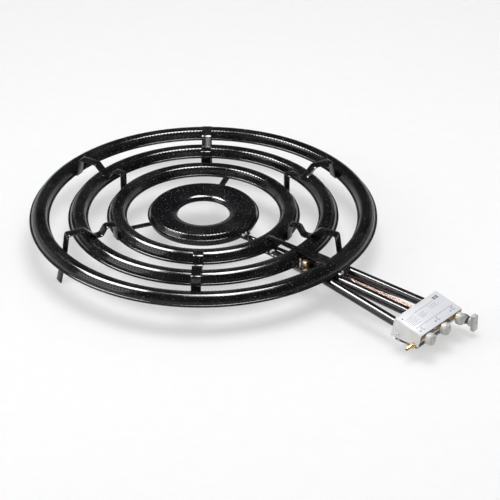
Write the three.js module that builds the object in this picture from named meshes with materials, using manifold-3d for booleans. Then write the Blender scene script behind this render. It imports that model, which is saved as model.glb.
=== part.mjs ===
// A four-burner gas stand for large pans: three ring burners around a centre burner, on three strap legs,
// with a valve box at the end of the mixing tubes. Millimetres, +Z up, the handle side along +X.
import * as THREE from "three";
import { mergeVertices } from "three/addons/utils/BufferGeometryUtils.js";
import Module from "manifold-3d";

const wasm = await Module();
wasm.setup();

// ---------- Driving dimensions ----------

// Clearance between pieces that touch, and the stock they are made of.
const seatGap = 0.3;
const channelSheet = 2;
const strapWidth = 25;
const strapThickness = 3;
const strapBend = 6;

// Ring burners, measured to the outer lip of each channel.
const outerRadius = 450;
const pitchesInRadius = 4.5;
const ringPitch = outerRadius / pitchesInRadius;
const channelWidth = 52;
const channelHeight = 26;
const lipHeight = 80;
const flangeDepth = 5;
const portSlopeFoot = 12;
const portSlopeInset = 14.5;
const portSlopeDrop = 4;
const innerWallInset = 4.5;
const innerShoulderInset = 9;

// Centre burner: a wide cap over a narrower pan that hangs below the rings.
const drumRadius = 144.5;
const drumHoleRadius = 67;
const drumHeight = 17;
const drumLipRise = 1.5;
const panInnerRadius = 92;
const panInset = 5.5;
const panDepth = 14;
const capFall = 5.5;
const collarInset = 10;

// Pan supports: where they stand, how high the pan rests and how far the legs spread.
const supportAzimuths = [12, 71, 130, 188, 249, 308.8];
const leggedSupports = [0, 2, 4];
const panRise = 50;
const innerCrestDrop = 5;
const legSpread = 19;
const crestLean = 8;
const outerCrestLength = 52;
const innerCrestLength = 28;
const saddleLength = 16;
const saddleReach = 11;
const saddleSink = 3.8;

// Flat straps that carry the centre burner.
const carrierAzimuths = [114, 240];
const carrierWidth = 16;
const carrierStepShare = 0.1;
const carrierBendShare = 0.05;

// Tie strap that lies on the crowns of the three rings.
const tieOffset = -11;
const tieNarrowWidth = 14;
const tieInset = 24;

// Mixing tubes.
const tubeRadius = 12;
const drumTubeRadius = 8;
const tubeWall = 1.5;
const tubeMouth = 700;
const neckRadius = 7;
const drumNeckRadius = 5.5;
const neckWall = 1.5;
const tubeEndReach = 11;
const ringTubeOffsets = [-26, 44, 0];
const drumTubeOffset = 14;
const drumTubeBend = [400, 55];

// Gas rail and taps.
const railSetback = 48;
const railDrop = 43;
const railRadius = 7;
const railBore = 5;
const tapDrop = 22;
const tapMargin = 22;
const endTapClearance = 12;
const housingRadius = 10;
const housingLength = 30;
const outletRadius = 6.5;
const outletLength = 28;
const gasWayRadius = 2;
const bossRadius = 5;
const bonnetRadius = 9;
const bonnetLength = 5.5;
const endBonnetRadius = 12;
const endBonnetLength = 17;
const plugRadius = 6.6;
const plugTaper = 1;
const turnGap = 0.5;
const plugLength = 23;
const spindleRadius = 3;
const spindleFlat = 2;
const spindleSeat = 6;
const pushTravel = 3;
const knobGap = 3.6;
const knobRadius = 15.5;
const skirtDepth = 6;
const gripDepth = 12;
const gripWidth = 15;
const endKnobRadius = 13;
const endGripLength = 44;
const endGripWidth = 18;
const markRadius = 1.5;
const markDepth = 0.8;

// Injectors between the taps and the tube mouths.
const injectorHexRadius = 6.5;
const injectorHexLength = 5;
const injectorTipRadius = 2.5;
const injectorTipLength = 9;
const jetRadius = 0.8;

// Hose nipple on the left end of the rail.
const nippleShankRadius = 5;
const nippleHexRadius = 8;
const nippleHexLength = 6;
const nippleBarbRadius = 5;
const nippleBarbLength = 20;
const nippleBore = 3;

// Valve box.
const boxWidth = 164;
const boxDepth = 83;
const boxSheet = 1.5;
const boxOverlap = 10;
const boxTopRise = 10;
const boxTilt = 13;
const boxBottomDrop = 44;
const wallCutSetback = 35;
const wallCutDrop = 31;
const labelInset = 3;
const labelThickness = 0.6;
const bracketSheet = 2;
const bracketTop = -2;
const tubeHoleGap = 2;
const earWidth = 24;
const earHeight = 30;
const screwRadius = 4;
const screwHeadDepth = 2.4;
const screwShankRadius = 1.8;
const screwSetback = 10;
const screwDrop = 32;
const tabLength = 15;

// Thermocouples with their copper leads.
const probeStandoff = 6;
const probeRadius = 2.2;
const probeTab = 1.5;
const probeTabReach = 3;
const smallNutRadius = 5;
const smallNutHeight = 5;
const smallNutDrop = 0;
const smallTipHeight = 7;
const largeNutRadius = 9.2;
const largeNutHeight = 13;
const largeNutDrop = 12;
const largeTipHeight = 24;
const largeProbe = 1;
const nutOffsets = [-2, -22.3, -23, -16];
const tipOffsets = [8, -37, -33, -6];
const leadOffsets = [27.4, 15, -20, 2];
const leadLanes = [2, 3, 0, 1];
const leadsUnderTube = [false, false, true, true];
const leadRadius = 1.5;
const leadPitch = 4.2;
const leadFirstOffset = 19;
const leadDrop = 1.5;
const leadUnderOffset = -6.5;
const leadUnderPitch = 7;
const leadFall = 2;
const leadTurnSetback = 290;
const leadBend = 10;
const leadIntoBox = 12;

// Facets of turned shapes.
const ringFacets = 60;
const drumFacets = 56;
const tubeFacets = 16;
const knobFacets = 24;
const smallFacets = 10;
const leadFacets = 6;
const leadSteps = 4;

// ---------- Values that follow ----------

const ringRadii = [0, 1, 2].map((index) => outerRadius - index * ringPitch);
const ringNames = ["outer_ring", "second_ring", "third_ring"];
const drumLipHeight = lipHeight + drumLipRise;
const panOuterRadius = drumRadius - panInset;
const endTapOffset = boxWidth / 2 + endTapClearance;
const tapPitch = boxWidth / 2 - tapMargin;
const railX = tubeMouth + railSetback;
const boxRear = tubeMouth - boxOverlap;
const wallCutRear = tubeMouth + wallCutSetback;
const leadTurn = tubeMouth - leadTurnSetback;
const drumPanHeight = drumLipHeight - panDepth;
const ringTopHeight = lipHeight + channelHeight;
const tapHeight = lipHeight - tapDrop;
const railHeight = lipHeight - railDrop;
const housingRear = railX - housingLength * 0.4;
const housingFront = housingRear + housingLength;
const outletRear = housingRear - outletLength;
const boxSlope = THREE.MathUtils.degToRad(boxTilt);
const boxHalf = boxWidth / 2;
const boxBottom = lipHeight - boxBottomDrop;
const boxTop = lipHeight + boxTopRise;

// ---------- Materials ----------

const material = (color, metalness, roughness) => new THREE.MeshStandardMaterial({ color, metalness, roughness });
const enamel = material(0x17181a, 0.1, 0.3);
const paintedSheet = material(0xdcdcda, 0.3, 0.45);
const labelFilm = material(0xf2f3f6, 0, 0.5);
const brass = material(0xb8934f, 0.9, 0.35);
const copper = material(0xc98a6b, 0.9, 0.35);
const steel = material(0xb9bbbd, 0.9, 0.3);
const greyPlastic = material(0xc9cac8, 0, 0.5);
const darkPlastic = material(0x55585a, 0.1, 0.5);

// ---------- Helpers ----------

const burner = new THREE.Group();

function addNode(name, geometry, finish) {
  const mesh = new THREE.Mesh(geometry, finish);
  mesh.name = name;
  burner.add(mesh);
}

function toSolid(geometry) {
  const bare = geometry.clone();
  bare.deleteAttribute("normal");
  bare.deleteAttribute("uv");
  const merged = mergeVertices(bare, 1e-4);
  return new wasm.Manifold(
    new wasm.Mesh({
      numProp: 3,
      vertProperties: new Float32Array(merged.attributes.position.array),
      triVerts: new Uint32Array(merged.index.array),
    }),
  );
}

function toGeometry(solid) {
  const mesh = solid.getMesh();
  const geometry = new THREE.BufferGeometry();
  geometry.setAttribute("position", new THREE.BufferAttribute(mesh.vertProperties, 3));
  geometry.setIndex(new THREE.BufferAttribute(mesh.triVerts, 1));
  geometry.computeVertexNormals();
  return geometry;
}

const join = (...pieces) => toGeometry(pieces.map(toSolid).reduce((whole, piece) => whole.add(piece)));

const cut = (piece, ...tools) => toGeometry(tools.map(toSolid).reduce((rest, tool) => rest.subtract(tool), toSolid(piece)));

const point = (x, y, z) => new THREE.Vector3(x, y, z);

// A rod or cone between two points, with its own number of sides.
function rod(from, to, startRadius, sides = smallFacets, endRadius = startRadius) {
  const span = to.clone().sub(from);
  const geometry = new THREE.CylinderGeometry(endRadius, startRadius, span.length(), sides);
  const turn = new THREE.Quaternion().setFromUnitVectors(point(0, 1, 0), span.clone().normalize());
  const middle = from.clone().add(to).multiplyScalar(0.5);
  return geometry.applyQuaternion(turn).translate(middle.x, middle.y, middle.z);
}

// A box between two opposite corners.
function block(low, high) {
  const size = high.clone().sub(low);
  const middle = low.clone().add(high).multiplyScalar(0.5);
  return new THREE.BoxGeometry(size.x, size.y, size.z).translate(middle.x, middle.y, middle.z);
}

// A closed profile of [radius, height] points, turned about the Z axis.
function turned(profile, facets) {
  const points = profile.concat([profile[0]]).map(([radius, height]) => new THREE.Vector2(radius, height));
  return new THREE.LatheGeometry(points, facets).rotateX(Math.PI / 2);
}

function outline(points) {
  return new THREE.Shape(points.map(([x, y]) => new THREE.Vector2(x, y)));
}

function circleShape(radius, sides, holeRadius = 0) {
  const ring = (size) =>
    Array.from({ length: sides }, (unused, index) => {
      const angle = (index / sides) * 2 * Math.PI;
      return new THREE.Vector2(size * Math.cos(angle), size * Math.sin(angle));
    });
  const shape = new THREE.Shape(ring(radius));
  if (holeRadius > 0) shape.holes.push(new THREE.Path(ring(holeRadius)));
  return shape;
}

// A flat outline in the XZ plane, thickened along Y about the middle plane.
function slabAlongY(shape, depth) {
  const geometry = new THREE.ExtrudeGeometry(shape, { depth, bevelEnabled: false });
  return geometry.translate(0, 0, -depth / 2).rotateX(Math.PI / 2);
}

// The centre line of a bent strap, with each corner rounded by a short curve.
function bentLine(corners, bend) {
  const path = new THREE.Path();
  path.moveTo(...corners[0]);
  corners.slice(1, -1).forEach((corner, index) => {
    const here = new THREE.Vector2(...corner);
    const before = new THREE.Vector2(...corners[index]).sub(here);
    const after = new THREE.Vector2(...corners[index + 2]).sub(here);
    const enter = here.clone().addScaledVector(before.normalize(), bend);
    const leave = here.clone().addScaledVector(after.normalize(), bend);
    path.lineTo(enter.x, enter.y);
    path.quadraticCurveTo(here.x, here.y, leave.x, leave.y);
  });
  path.lineTo(...corners.at(-1));
  const bendSteps = 3;
  return path.getPoints(bendSteps);
}

// The outline of a strap seen on edge: its centre line moved half a thickness to each side.
function strapOutline(corners, thickness, bend, floorCut = false) {
  const line = bentLine(corners, bend);
  const side = (sign) =>
    line.map((here, index) => {
      const back = line[Math.max(index - 1, 0)];
      const ahead = line[Math.min(index + 1, line.length - 1)];
      const along = ahead.clone().sub(back).normalize();
      const inbound = here.clone().sub(back).normalize();
      const widen = index > 0 && index < line.length - 1 ? 1 / Math.max(along.dot(inbound), 0.5) : 1;
      const normal = new THREE.Vector2(-along.y, along.x).multiplyScalar((sign * thickness * widen) / 2);
      return here.clone().add(normal);
    });
  const left = side(1);
  const right = side(-1);
  if (floorCut) {
    [left, right].forEach((edge) => {
      const foot = edge.at(-1);
      const above = edge.at(-2);
      foot.x = above.x + ((foot.x - above.x) * above.y) / (above.y - foot.y);
      foot.y = 0;
    });
  }
  return new THREE.Shape(left.concat(right.reverse()));
}

const radians = THREE.MathUtils.degToRad;

// ---------- Ring burners ----------

// A pressed sheet turned about the Z axis, drawn by its middle line from the outer edge to the inner one.
function pressedSheet(line, thickness, facets) {
  const points = line.map(([radius, height]) => new THREE.Vector2(radius, height));
  const side = (sign) =>
    points.map((here, index) => {
      const back = points[Math.max(index - 1, 0)];
      const ahead = points[Math.min(index + 1, points.length - 1)];
      const along = ahead.clone().sub(back).normalize();
      const leg = (index > 0 ? here.clone().sub(back) : ahead.clone().sub(here)).normalize();
      const widen = 1 / Math.max(along.dot(leg), 0.6);
      return [here.x + (along.y * widen * sign * thickness) / 2, here.y - (along.x * widen * sign * thickness) / 2];
    });
  return turned(side(1).concat(side(-1).reverse()), facets);
}

// The pressed top of a ring burner: flanges, a sloping port band outside, a low crown, a steep wall inside.
function channelTop(innerRadius, radius, base, facets) {
  const flange = base + channelSheet + seatGap + channelSheet / 2;
  const crown = base + channelHeight - channelSheet / 2;
  const middle = (innerRadius + radius) / 2;
  const bend = 1.5;
  const line = [
    [radius - seatGap, flange],
    [radius - flangeDepth, flange],
    [radius - flangeDepth - 2 * bend, base + portSlopeFoot],
    [radius - portSlopeInset, crown - portSlopeDrop],
    [radius - portSlopeInset - flangeDepth, crown - 1],
    [middle, crown],
    [innerRadius + 1.5 * innerShoulderInset, crown - 2],
    [innerRadius + innerShoulderInset, crown - 5.5],
    [innerRadius + innerWallInset, flange],
    [innerRadius + seatGap, flange],
  ];
  return pressedSheet(line, channelSheet, facets);
}

// The flat pan that closes a channel from below, with a hole for the neck of its mixing tube.
function channelBase(innerRadius, radius, base, facets, neckPlace, neckHole) {
  const pan = turned(
    [
      [innerRadius, base],
      [radius, base],
      [radius, base + channelSheet],
      [innerRadius, base + channelSheet],
    ],
    facets,
  );
  return cut(pan, neckCutter(neckPlace, base, neckHole));
}

function neckCutter(neckPlace, base, neckHole) {
  const above = neckPlace.clone().setZ(base + 2 * channelSheet);
  const below = neckPlace.clone().setZ(base - channelSheet);
  return rod(below, above, neckHole, tubeFacets);
}

// ---------- Centre burner ----------

// The cap: a flange, a narrow port band, a broad top that falls a little inwards, and a collar round the hole.
function drumTop() {
  const flange = drumLipHeight + channelSheet + seatGap + channelSheet / 2;
  const crown = drumLipHeight + drumHeight - channelSheet / 2;
  const line = [
    [drumRadius - seatGap, flange],
    [drumRadius - flangeDepth, flange + 3],
    [drumRadius - 2 * flangeDepth, crown - 1.5],
    [drumRadius - 3 * flangeDepth, crown],
    [drumHoleRadius + 2 * collarInset, crown - capFall / 2],
    [drumHoleRadius + collarInset, crown - capFall],
    [drumHoleRadius + collarInset / 2, crown - capFall - 3],
    [drumHoleRadius + channelSheet, drumLipHeight + channelSheet],
    [drumHoleRadius + channelSheet / 2, drumLipHeight - channelSheet],
  ];
  return pressedSheet(line, channelSheet, drumFacets);
}

// The pan under the cap: a deep annular dish with a flange outside and a wall up to the cap inside.
function drumPan(neckPlace, neckHole) {
  const floor = drumPanHeight + channelSheet / 2;
  const rim = drumLipHeight + channelSheet / 2;
  const line = [
    [drumRadius, rim],
    [panOuterRadius, rim],
    [panOuterRadius - 1.5, floor],
    [panInnerRadius, floor],
    [panInnerRadius, drumLipHeight + drumHeight / 2],
  ];
  return cut(pressedSheet(line, channelSheet, drumFacets), neckCutter(neckPlace, drumPanHeight, neckHole));
}

// ---------- Mixing tubes ----------

// Where the neck of each tube enters its burner.
function neckPlace(innerRadius, radius, offset) {
  const middle = (innerRadius + radius) / 2;
  return point(Math.sqrt(middle * middle - offset * offset), offset, 0);
}

// A mixing tube: open at the mouth, closed at the burner, with a short neck up into the channel.
function mixingTube(corners, radius, neck, neckOuter, neckTop) {
  const route = corners.length > 2 ? new THREE.CatmullRomCurve3(corners) : new THREE.LineCurve3(...corners);
  const steps = corners.length > 2 ? 12 : 1;
  const sweep = (size, path) =>
    new THREE.ExtrudeGeometry(circleShape(size, tubeFacets), { steps, extrudePath: path, bevelEnabled: false });
  const end = corners.at(-1);
  const inward = end.clone().sub(corners.at(-2)).normalize();
  const mouthOut = corners[0].clone().sub(corners[1]).normalize();
  const inner = corners.map((corner) => corner.clone());
  inner[0].addScaledVector(mouthOut, tubeWall);
  inner.at(-1).addScaledVector(inward, -tubeWall);
  const innerRoute = inner.length > 2 ? new THREE.CatmullRomCurve3(inner) : new THREE.LineCurve3(...inner);
  const neckFoot = neck.clone().setZ(end.z);
  const neckHead = neck.clone().setZ(neckTop);
  const tube = join(sweep(radius, route), rod(neckFoot, neckHead, neckOuter, tubeFacets));
  const neckBore = rod(neckFoot, neckHead.clone().setZ(neckTop + tubeWall), neckOuter - neckWall, tubeFacets);
  return cut(tube, sweep(radius - tubeWall, innerRoute), neckBore);
}

const tapOffsets = [-tapPitch, tapPitch, 0];

ringRadii.forEach((radius, index) => {
  const innerRadius = radius - channelWidth;
  const neck = neckPlace(innerRadius, radius, ringTubeOffsets[index]);
  addNode(`${ringNames[index]}_top`, channelTop(innerRadius, radius, lipHeight, ringFacets), enamel);
  addNode(
    `${ringNames[index]}_base`,
    channelBase(innerRadius, radius, lipHeight, ringFacets, neck, neckRadius + seatGap),
    enamel,
  );
  const mouth = point(tubeMouth, tapOffsets[index], tapHeight);
  const under = neck.clone().setZ(lipHeight - seatGap - tubeRadius);
  const end = under.clone().addScaledVector(under.clone().sub(mouth).setZ(0).normalize(), tubeEndReach);
  const neckTop = lipHeight + channelSheet + 1;
  addNode(`${ringNames[index]}_tube`, mixingTube([mouth, end], tubeRadius, neck, neckRadius, neckTop), enamel);
});

const drumNeck = neckPlace(panInnerRadius, panOuterRadius, drumTubeOffset);
addNode("centre_burner_top", drumTop(), enamel);
addNode("centre_burner_base", drumPan(drumNeck, drumNeckRadius + seatGap), enamel);

const drumTubeEnd = drumNeck.clone().setZ(drumPanHeight - 2 * seatGap - drumTubeRadius);
const drumTubeBendPoint = point(drumTubeBend[0], drumTubeBend[1], railHeight);
drumTubeEnd.addScaledVector(drumTubeEnd.clone().sub(drumTubeBendPoint).setZ(0).normalize(), tubeEndReach);
addNode(
  "centre_burner_tube",
  mixingTube(
    [point(tubeMouth, endTapOffset, railHeight), drumTubeBendPoint, drumTubeEnd],
    drumTubeRadius,
    drumNeck,
    drumNeckRadius,
    drumPanHeight + channelSheet + 1,
  ),
  enamel,
);

// ---------- Pan supports and legs ----------

// The nearest a flat strap face can stand to the facets inside a ring of the given radius.
function insideSeat(radius) {
  const facetRadius = radius * Math.cos(Math.PI / ringFacets) - seatGap;
  return Math.sqrt(facetRadius * facetRadius - (strapWidth * strapWidth) / 4) - strapThickness / 2;
}

function supportGeometry(legged) {
  const outer = insideSeat(outerRadius - channelWidth);
  const inner = ringRadii[2] + seatGap + strapThickness / 2;
  const crest = lipHeight + panRise;
  const innerCrest = crest - innerCrestDrop;
  const saddle = ringTopHeight - saddleSink + seatGap + strapThickness / 2;
  const saddleOuter = ringRadii[1] - channelWidth + saddleReach;
  const outerCorner = outer - crestLean;
  const tail = legged
    ? [
        [outer, lipHeight - strapThickness],
        [outer + legSpread, 0],
      ]
    : [[outer, lipHeight]];
  const corners = [
    [inner, lipHeight],
    [inner, innerCrest],
    [inner + innerCrestLength, innerCrest],
    [saddleOuter - saddleLength, saddle],
    [saddleOuter, saddle],
    [outerCorner - outerCrestLength, crest],
    [outerCorner, crest],
  ].concat(tail);
  return slabAlongY(strapOutline(corners, strapThickness, strapBend, legged), strapWidth);
}

supportAzimuths.forEach((azimuth, index) => {
  const legged = leggedSupports.includes(index);
  const name = legged ? `pan_support_leg_${index + 1}` : `pan_support_${index + 1}`;
  addNode(name, supportGeometry(legged).rotateZ(radians(azimuth)), enamel);
});

// Straps under the third ring and the flange of the centre burner.
function carrierGeometry() {
  const ringEnd = ringRadii[2] - channelWidth / 2;
  const ringInner = ringRadii[2] - channelWidth;
  const drumEnd = panOuterRadius + seatGap + channelSheet;
  const underRing = lipHeight - seatGap - strapThickness / 2;
  const underDrum = drumLipHeight - seatGap - strapThickness / 2;
  const span = ringInner - drumRadius;
  const corners = [
    [ringEnd, underRing],
    [ringInner - span * carrierStepShare, underRing],
    [drumRadius + span * carrierStepShare, underDrum],
    [drumEnd, underDrum],
  ];
  return slabAlongY(strapOutline(corners, strapThickness, span * carrierBendShare), carrierWidth);
}

carrierAzimuths.forEach((azimuth, index) => {
  addNode(`centre_carrier_${index + 1}`, carrierGeometry().rotateZ(radians(azimuth)), enamel);
});

// The tie strap reaches from crown to crown, and widens towards the valve box.
function tieGeometry() {
  const farEnd = outerRadius - tieInset;
  const nearEnd = ringRadii[2] - tieInset;
  const under = ringTopHeight + seatGap;
  const plan = outline([
    [nearEnd, -tieNarrowWidth / 2],
    [farEnd, -strapWidth / 2],
    [farEnd, strapWidth / 2],
    [nearEnd, tieNarrowWidth / 2],
  ]);
  const strap = new THREE.ExtrudeGeometry(plan, { depth: strapThickness, bevelEnabled: false });
  return strap.translate(0, tieOffset, under);
}

addNode("tie_strap", tieGeometry(), enamel);

// ---------- Gas rail and taps ----------

const railLeft = -boxHalf + boxSheet + seatGap + 3;
const railRight = endTapOffset - housingRadius - seatGap;

function railGeometry() {
  const body = rod(point(railX, railLeft, railHeight), point(railX, railRight, railHeight), railRadius, tubeFacets);
  const bore = rod(
    point(railX, railLeft - 1, railHeight),
    point(railX, railRight + 1, railHeight),
    railBore,
    tubeFacets,
  );
  const inlets = tapOffsets.map((offset) =>
    rod(point(railX, offset, railHeight), point(railX, offset, railHeight + 2 * railRadius), gasWayRadius),
  );
  return cut(body, bore, ...inlets);
}

addNode("gas_rail", railGeometry(), steel);

// A tap is drawn about its own axis along +X; its inlet boss points along the given direction.
function tapBody(inlet, inletReach) {
  const onAxis = (x) => point(x, 0, 0);
  const housing = rod(onAxis(housingRear), onAxis(housingFront), housingRadius, tubeFacets);
  const outlet = rod(onAxis(outletRear), onAxis(housingRear + 1), outletRadius, 6);
  const bossEnd = onAxis(railX).addScaledVector(inlet, inletReach);
  const boss = rod(onAxis(railX), bossEnd, bossRadius);
  const topX = housingRear + bossRadius;
  const top = rod(point(topX, 0, 0), point(topX, 0, housingRadius + 3), bossRadius - 1);
  const bore = rod(
    onAxis(housingFront + 1),
    onAxis(housingFront - plugLength - 3),
    plugRadius + turnGap,
    tubeFacets,
    plugRadius - plugTaper + turnGap,
  );
  const outletWay = rod(onAxis(outletRear - 1), onAxis(housingRear + bossRadius), gasWayRadius);
  const inletWay = rod(onAxis(railX), bossEnd.clone().addScaledVector(inlet, 1), gasWayRadius);
  return cut(join(housing, outlet, boss, top), bore, outletWay, inletWay);
}

// A round bar with one flat, so that it turns what it slides in.
function flatted(radius, flat, from, to) {
  const start = Math.acos(flat / radius);
  const steps = smallFacets;
  const points = Array.from({ length: steps + 1 }, (unused, index) => {
    const angle = start + ((2 * Math.PI - 2 * start) * index) / steps;
    return [radius * Math.cos(angle), radius * Math.sin(angle)];
  });
  const bar = new THREE.ExtrudeGeometry(outline(points), { depth: to - from, bevelEnabled: false });
  return bar.rotateY(Math.PI / 2).translate(from, 0, 0);
}

const plugFront = housingFront - 1;
const plugRear = plugFront - plugLength;
const socketBottom = plugFront - spindleSeat - pushTravel - 1;
const spindleRear = plugFront - spindleSeat;

function plugGeometry() {
  const onAxis = (x) => point(x, 0, 0);
  const cone = rod(onAxis(plugFront), onAxis(plugRear), plugRadius, tubeFacets, plugRadius - plugTaper);
  const socket = flatted(spindleRadius + seatGap, spindleFlat + seatGap, socketBottom, plugFront + 1);
  const portX = railX;
  const way = rod(onAxis(plugRear - 1), onAxis(portX), gasWayRadius);
  const port = rod(onAxis(portX), point(portX, -2 * plugRadius, 0), gasWayRadius);
  return cut(cone, socket, way, port);
}

function bonnetGeometry(radius, length, sides) {
  const rear = housingFront + seatGap;
  const body = rod(point(rear, 0, 0), point(rear + length, 0, 0), radius, sides);
  const bore = rod(point(rear - 1, 0, 0), point(rear + length + 1, 0, 0), spindleRadius + turnGap, tubeFacets);
  return cut(body, bore);
}

function spindleGeometry(knobRear) {
  return flatted(spindleRadius, spindleFlat, spindleRear, knobRear + skirtDepth + gripDepth / 3);
}

// A moulded knob: round skirt, raised grip with round ends, socket for the spindle and a sunk pointer dot.
function knobGeometry(knobRear, skirtRadius, gripLength, width) {
  const gripFront = knobRear + skirtDepth + gripDepth;
  const skirt = rod(point(knobRear, 0, 0), point(knobRear + skirtDepth, 0, 0), skirtRadius, knobFacets);
  const half = gripLength / 2;
  const corner = width / 3;
  const grip = new THREE.Shape();
  grip.moveTo(-half + corner, -width / 2);
  grip.lineTo(half - corner, -width / 2);
  grip.quadraticCurveTo(half, -width / 2, half, 0);
  grip.quadraticCurveTo(half, width / 2, half - corner, width / 2);
  grip.lineTo(-half + corner, width / 2);
  grip.quadraticCurveTo(-half, width / 2, -half, 0);
  grip.quadraticCurveTo(-half, -width / 2, -half + corner, -width / 2);
  const curveSegments = 4;
  const bar = new THREE.ExtrudeGeometry(grip, { depth: gripDepth, bevelEnabled: false, curveSegments });
  bar.rotateY(Math.PI / 2).translate(knobRear + skirtDepth, 0, 0);
  const socketFront = knobRear + skirtDepth + gripDepth / 3 + seatGap;
  const socket = flatted(spindleRadius + seatGap, spindleFlat + seatGap, knobRear - 1, socketFront);
  const dotHeight = half - 3 * markRadius;
  const dot = rod(point(gripFront - markDepth, 0, dotHeight), point(gripFront + 1, 0, dotHeight), markRadius);
  return cut(join(skirt, bar), socket, dot);
}

function injectorGeometry(rear) {
  const hexRear = rear - injectorHexLength;
  const tip = hexRear - injectorTipLength;
  const hex = rod(point(hexRear, 0, 0), point(rear, 0, 0), injectorHexRadius, 6);
  const nose = rod(point(tip, 0, 0), point(hexRear + 1, 0, 0), injectorTipRadius, smallFacets, injectorHexRadius - 1);
  const way = rod(point(hexRear, 0, 0), point(rear + 1, 0, 0), gasWayRadius);
  const jet = rod(point(tip - 1, 0, 0), point(hexRear + 1, 0, 0), jetRadius, leadFacets);
  return cut(join(hex, nose), way, jet);
}

const ringTapInletReach = tapHeight - railHeight - railRadius - seatGap;
const endTapInletReach = housingRadius;
const knobRearRing = housingFront + seatGap + bonnetLength + knobGap;
const knobRearEnd = housingFront + seatGap + endBonnetLength + knobGap + 2;

const taps = [
  { name: "outer_ring", offset: tapOffsets[0], height: tapHeight, end: false },
  { name: "second_ring", offset: tapOffsets[1], height: tapHeight, end: false },
  { name: "third_ring", offset: tapOffsets[2], height: tapHeight, end: false },
  { name: "centre_burner", offset: endTapOffset, height: railHeight, end: true },
];

taps.forEach((tap) => {
  const place = (geometry) => geometry.translate(0, tap.offset, tap.height);
  const inlet = tap.end ? point(0, -1, 0) : point(0, 0, -1);
  const reach = tap.end ? endTapInletReach : ringTapInletReach;
  const knobRear = tap.end ? knobRearEnd : knobRearRing;
  const skirtRadius = tap.end ? endKnobRadius : knobRadius;
  const gripLength = tap.end ? endGripLength : 2 * knobRadius;
  const width = tap.end ? endGripWidth : gripWidth;
  const bonnet = tap.end
    ? bonnetGeometry(endBonnetRadius, endBonnetLength, knobFacets)
    : bonnetGeometry(bonnetRadius, bonnetLength, 6);
  addNode(`${tap.name}_tap`, place(tapBody(inlet, reach)), brass);
  addNode(`${tap.name}_tap_plug`, place(plugGeometry()), brass);
  addNode(`${tap.name}_tap_bonnet`, place(bonnet), tap.end ? darkPlastic : brass);
  addNode(`${tap.name}_spindle`, place(spindleGeometry(knobRear)), steel);
  addNode(`${tap.name}_knob`, place(knobGeometry(knobRear, skirtRadius, gripLength, width)), greyPlastic);
  addNode(`${tap.name}_injector`, place(injectorGeometry(outletRear - seatGap)), brass);
});

// ---------- Hose nipple ----------

function nippleGeometry() {
  const wall = boxHalf;
  const start = -railLeft + seatGap;
  const hexStart = wall + seatGap;
  const hexEnd = hexStart + nippleHexLength;
  const end = hexEnd + nippleBarbLength;
  const ridge = nippleBarbLength / 3;
  const valley = nippleBarbRadius - 1.2;
  const profile = [
    [nippleBore, start],
    [nippleShankRadius, start],
    [nippleShankRadius, hexStart],
    [nippleHexRadius, hexStart],
    [nippleHexRadius, hexEnd],
    [valley, hexEnd],
    [nippleBarbRadius, hexEnd + 1],
    [valley, hexEnd + ridge],
    [nippleBarbRadius, hexEnd + ridge + 1],
    [valley, hexEnd + 2 * ridge],
    [nippleBarbRadius, hexEnd + 2 * ridge + 1],
    [valley, end],
    [nippleBore, end],
  ];
  return turned(profile, smallFacets).rotateX(Math.PI / 2).translate(railX, 0, railHeight);
}

addNode("hose_nipple", nippleGeometry(), brass);

// ---------- Valve box ----------

const topDirection = new THREE.Vector2(Math.cos(boxSlope), -Math.sin(boxSlope));
const downDirection = new THREE.Vector2(-Math.sin(boxSlope), -Math.cos(boxSlope));

// A point of the box side, measured along the lid from its rear edge and down from its face.
const onSide = (along, down) =>
  new THREE.Vector2(boxRear, boxTop).addScaledVector(topDirection, along).addScaledVector(downDirection, down);

// The side of the box: leaning front and rear edges between the sloping lid and a level bottom.
function sideShape(topDown, frontPast, rearPast, bottom) {
  const toBottom = (along) => {
    const start = onSide(along, topDown);
    const down = (start.y - bottom) / -downDirection.y;
    return start.clone().addScaledVector(downDirection, down);
  };
  return new THREE.Shape([
    onSide(-rearPast, topDown),
    toBottom(-rearPast),
    toBottom(boxDepth + frontPast),
    onSide(boxDepth + frontPast, topDown),
  ]);
}

function coverGeometry() {
  const shell = slabAlongY(sideShape(0, 0, 0, boxBottom), boxWidth);
  const hollow = slabAlongY(sideShape(boxSheet, 10, 10, boxBottom - 10), boxWidth - 2 * boxSheet);
  const nippleHole = rod(
    point(railX, -boxHalf - 1, railHeight),
    point(railX, -boxHalf + 2 * boxSheet, railHeight),
    nippleShankRadius + 2 * seatGap,
    tubeFacets,
  );
  const rightCut = block(
    point(wallCutRear, boxHalf - 2 * boxSheet, boxBottom - 10),
    point(boxRear + boxDepth + 10, boxHalf + 1, lipHeight - wallCutDrop),
  );
  const screwX = boxRear + screwSetback;
  const screwHole = rod(
    point(screwX, -boxHalf - 1, lipHeight - screwDrop),
    point(screwX, boxHalf + 1, lipHeight - screwDrop),
    screwShankRadius + seatGap,
  );
  return cut(shell, hollow, nippleHole, rightCut, screwHole);
}

addNode("box_cover", coverGeometry(), paintedSheet);

function labelGeometry() {
  const film = new THREE.Shape([
    onSide(labelInset * 2, -seatGap),
    onSide(boxDepth - seatGap, -seatGap),
    onSide(boxDepth - seatGap, -seatGap - labelThickness),
    onSide(labelInset * 2, -seatGap - labelThickness),
  ]);
  return slabAlongY(film, boxWidth - 2 * labelInset);
}

addNode("label_plate", labelGeometry(), labelFilm);

// The bracket that the tubes pass through: an upright plate with an ear, side tabs and a shelf for the rail.
const bracketRear = boxRear + 1;
const shelfTop = railHeight - railRadius - seatGap;
const shelfBottom = shelfTop - bracketSheet;

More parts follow.
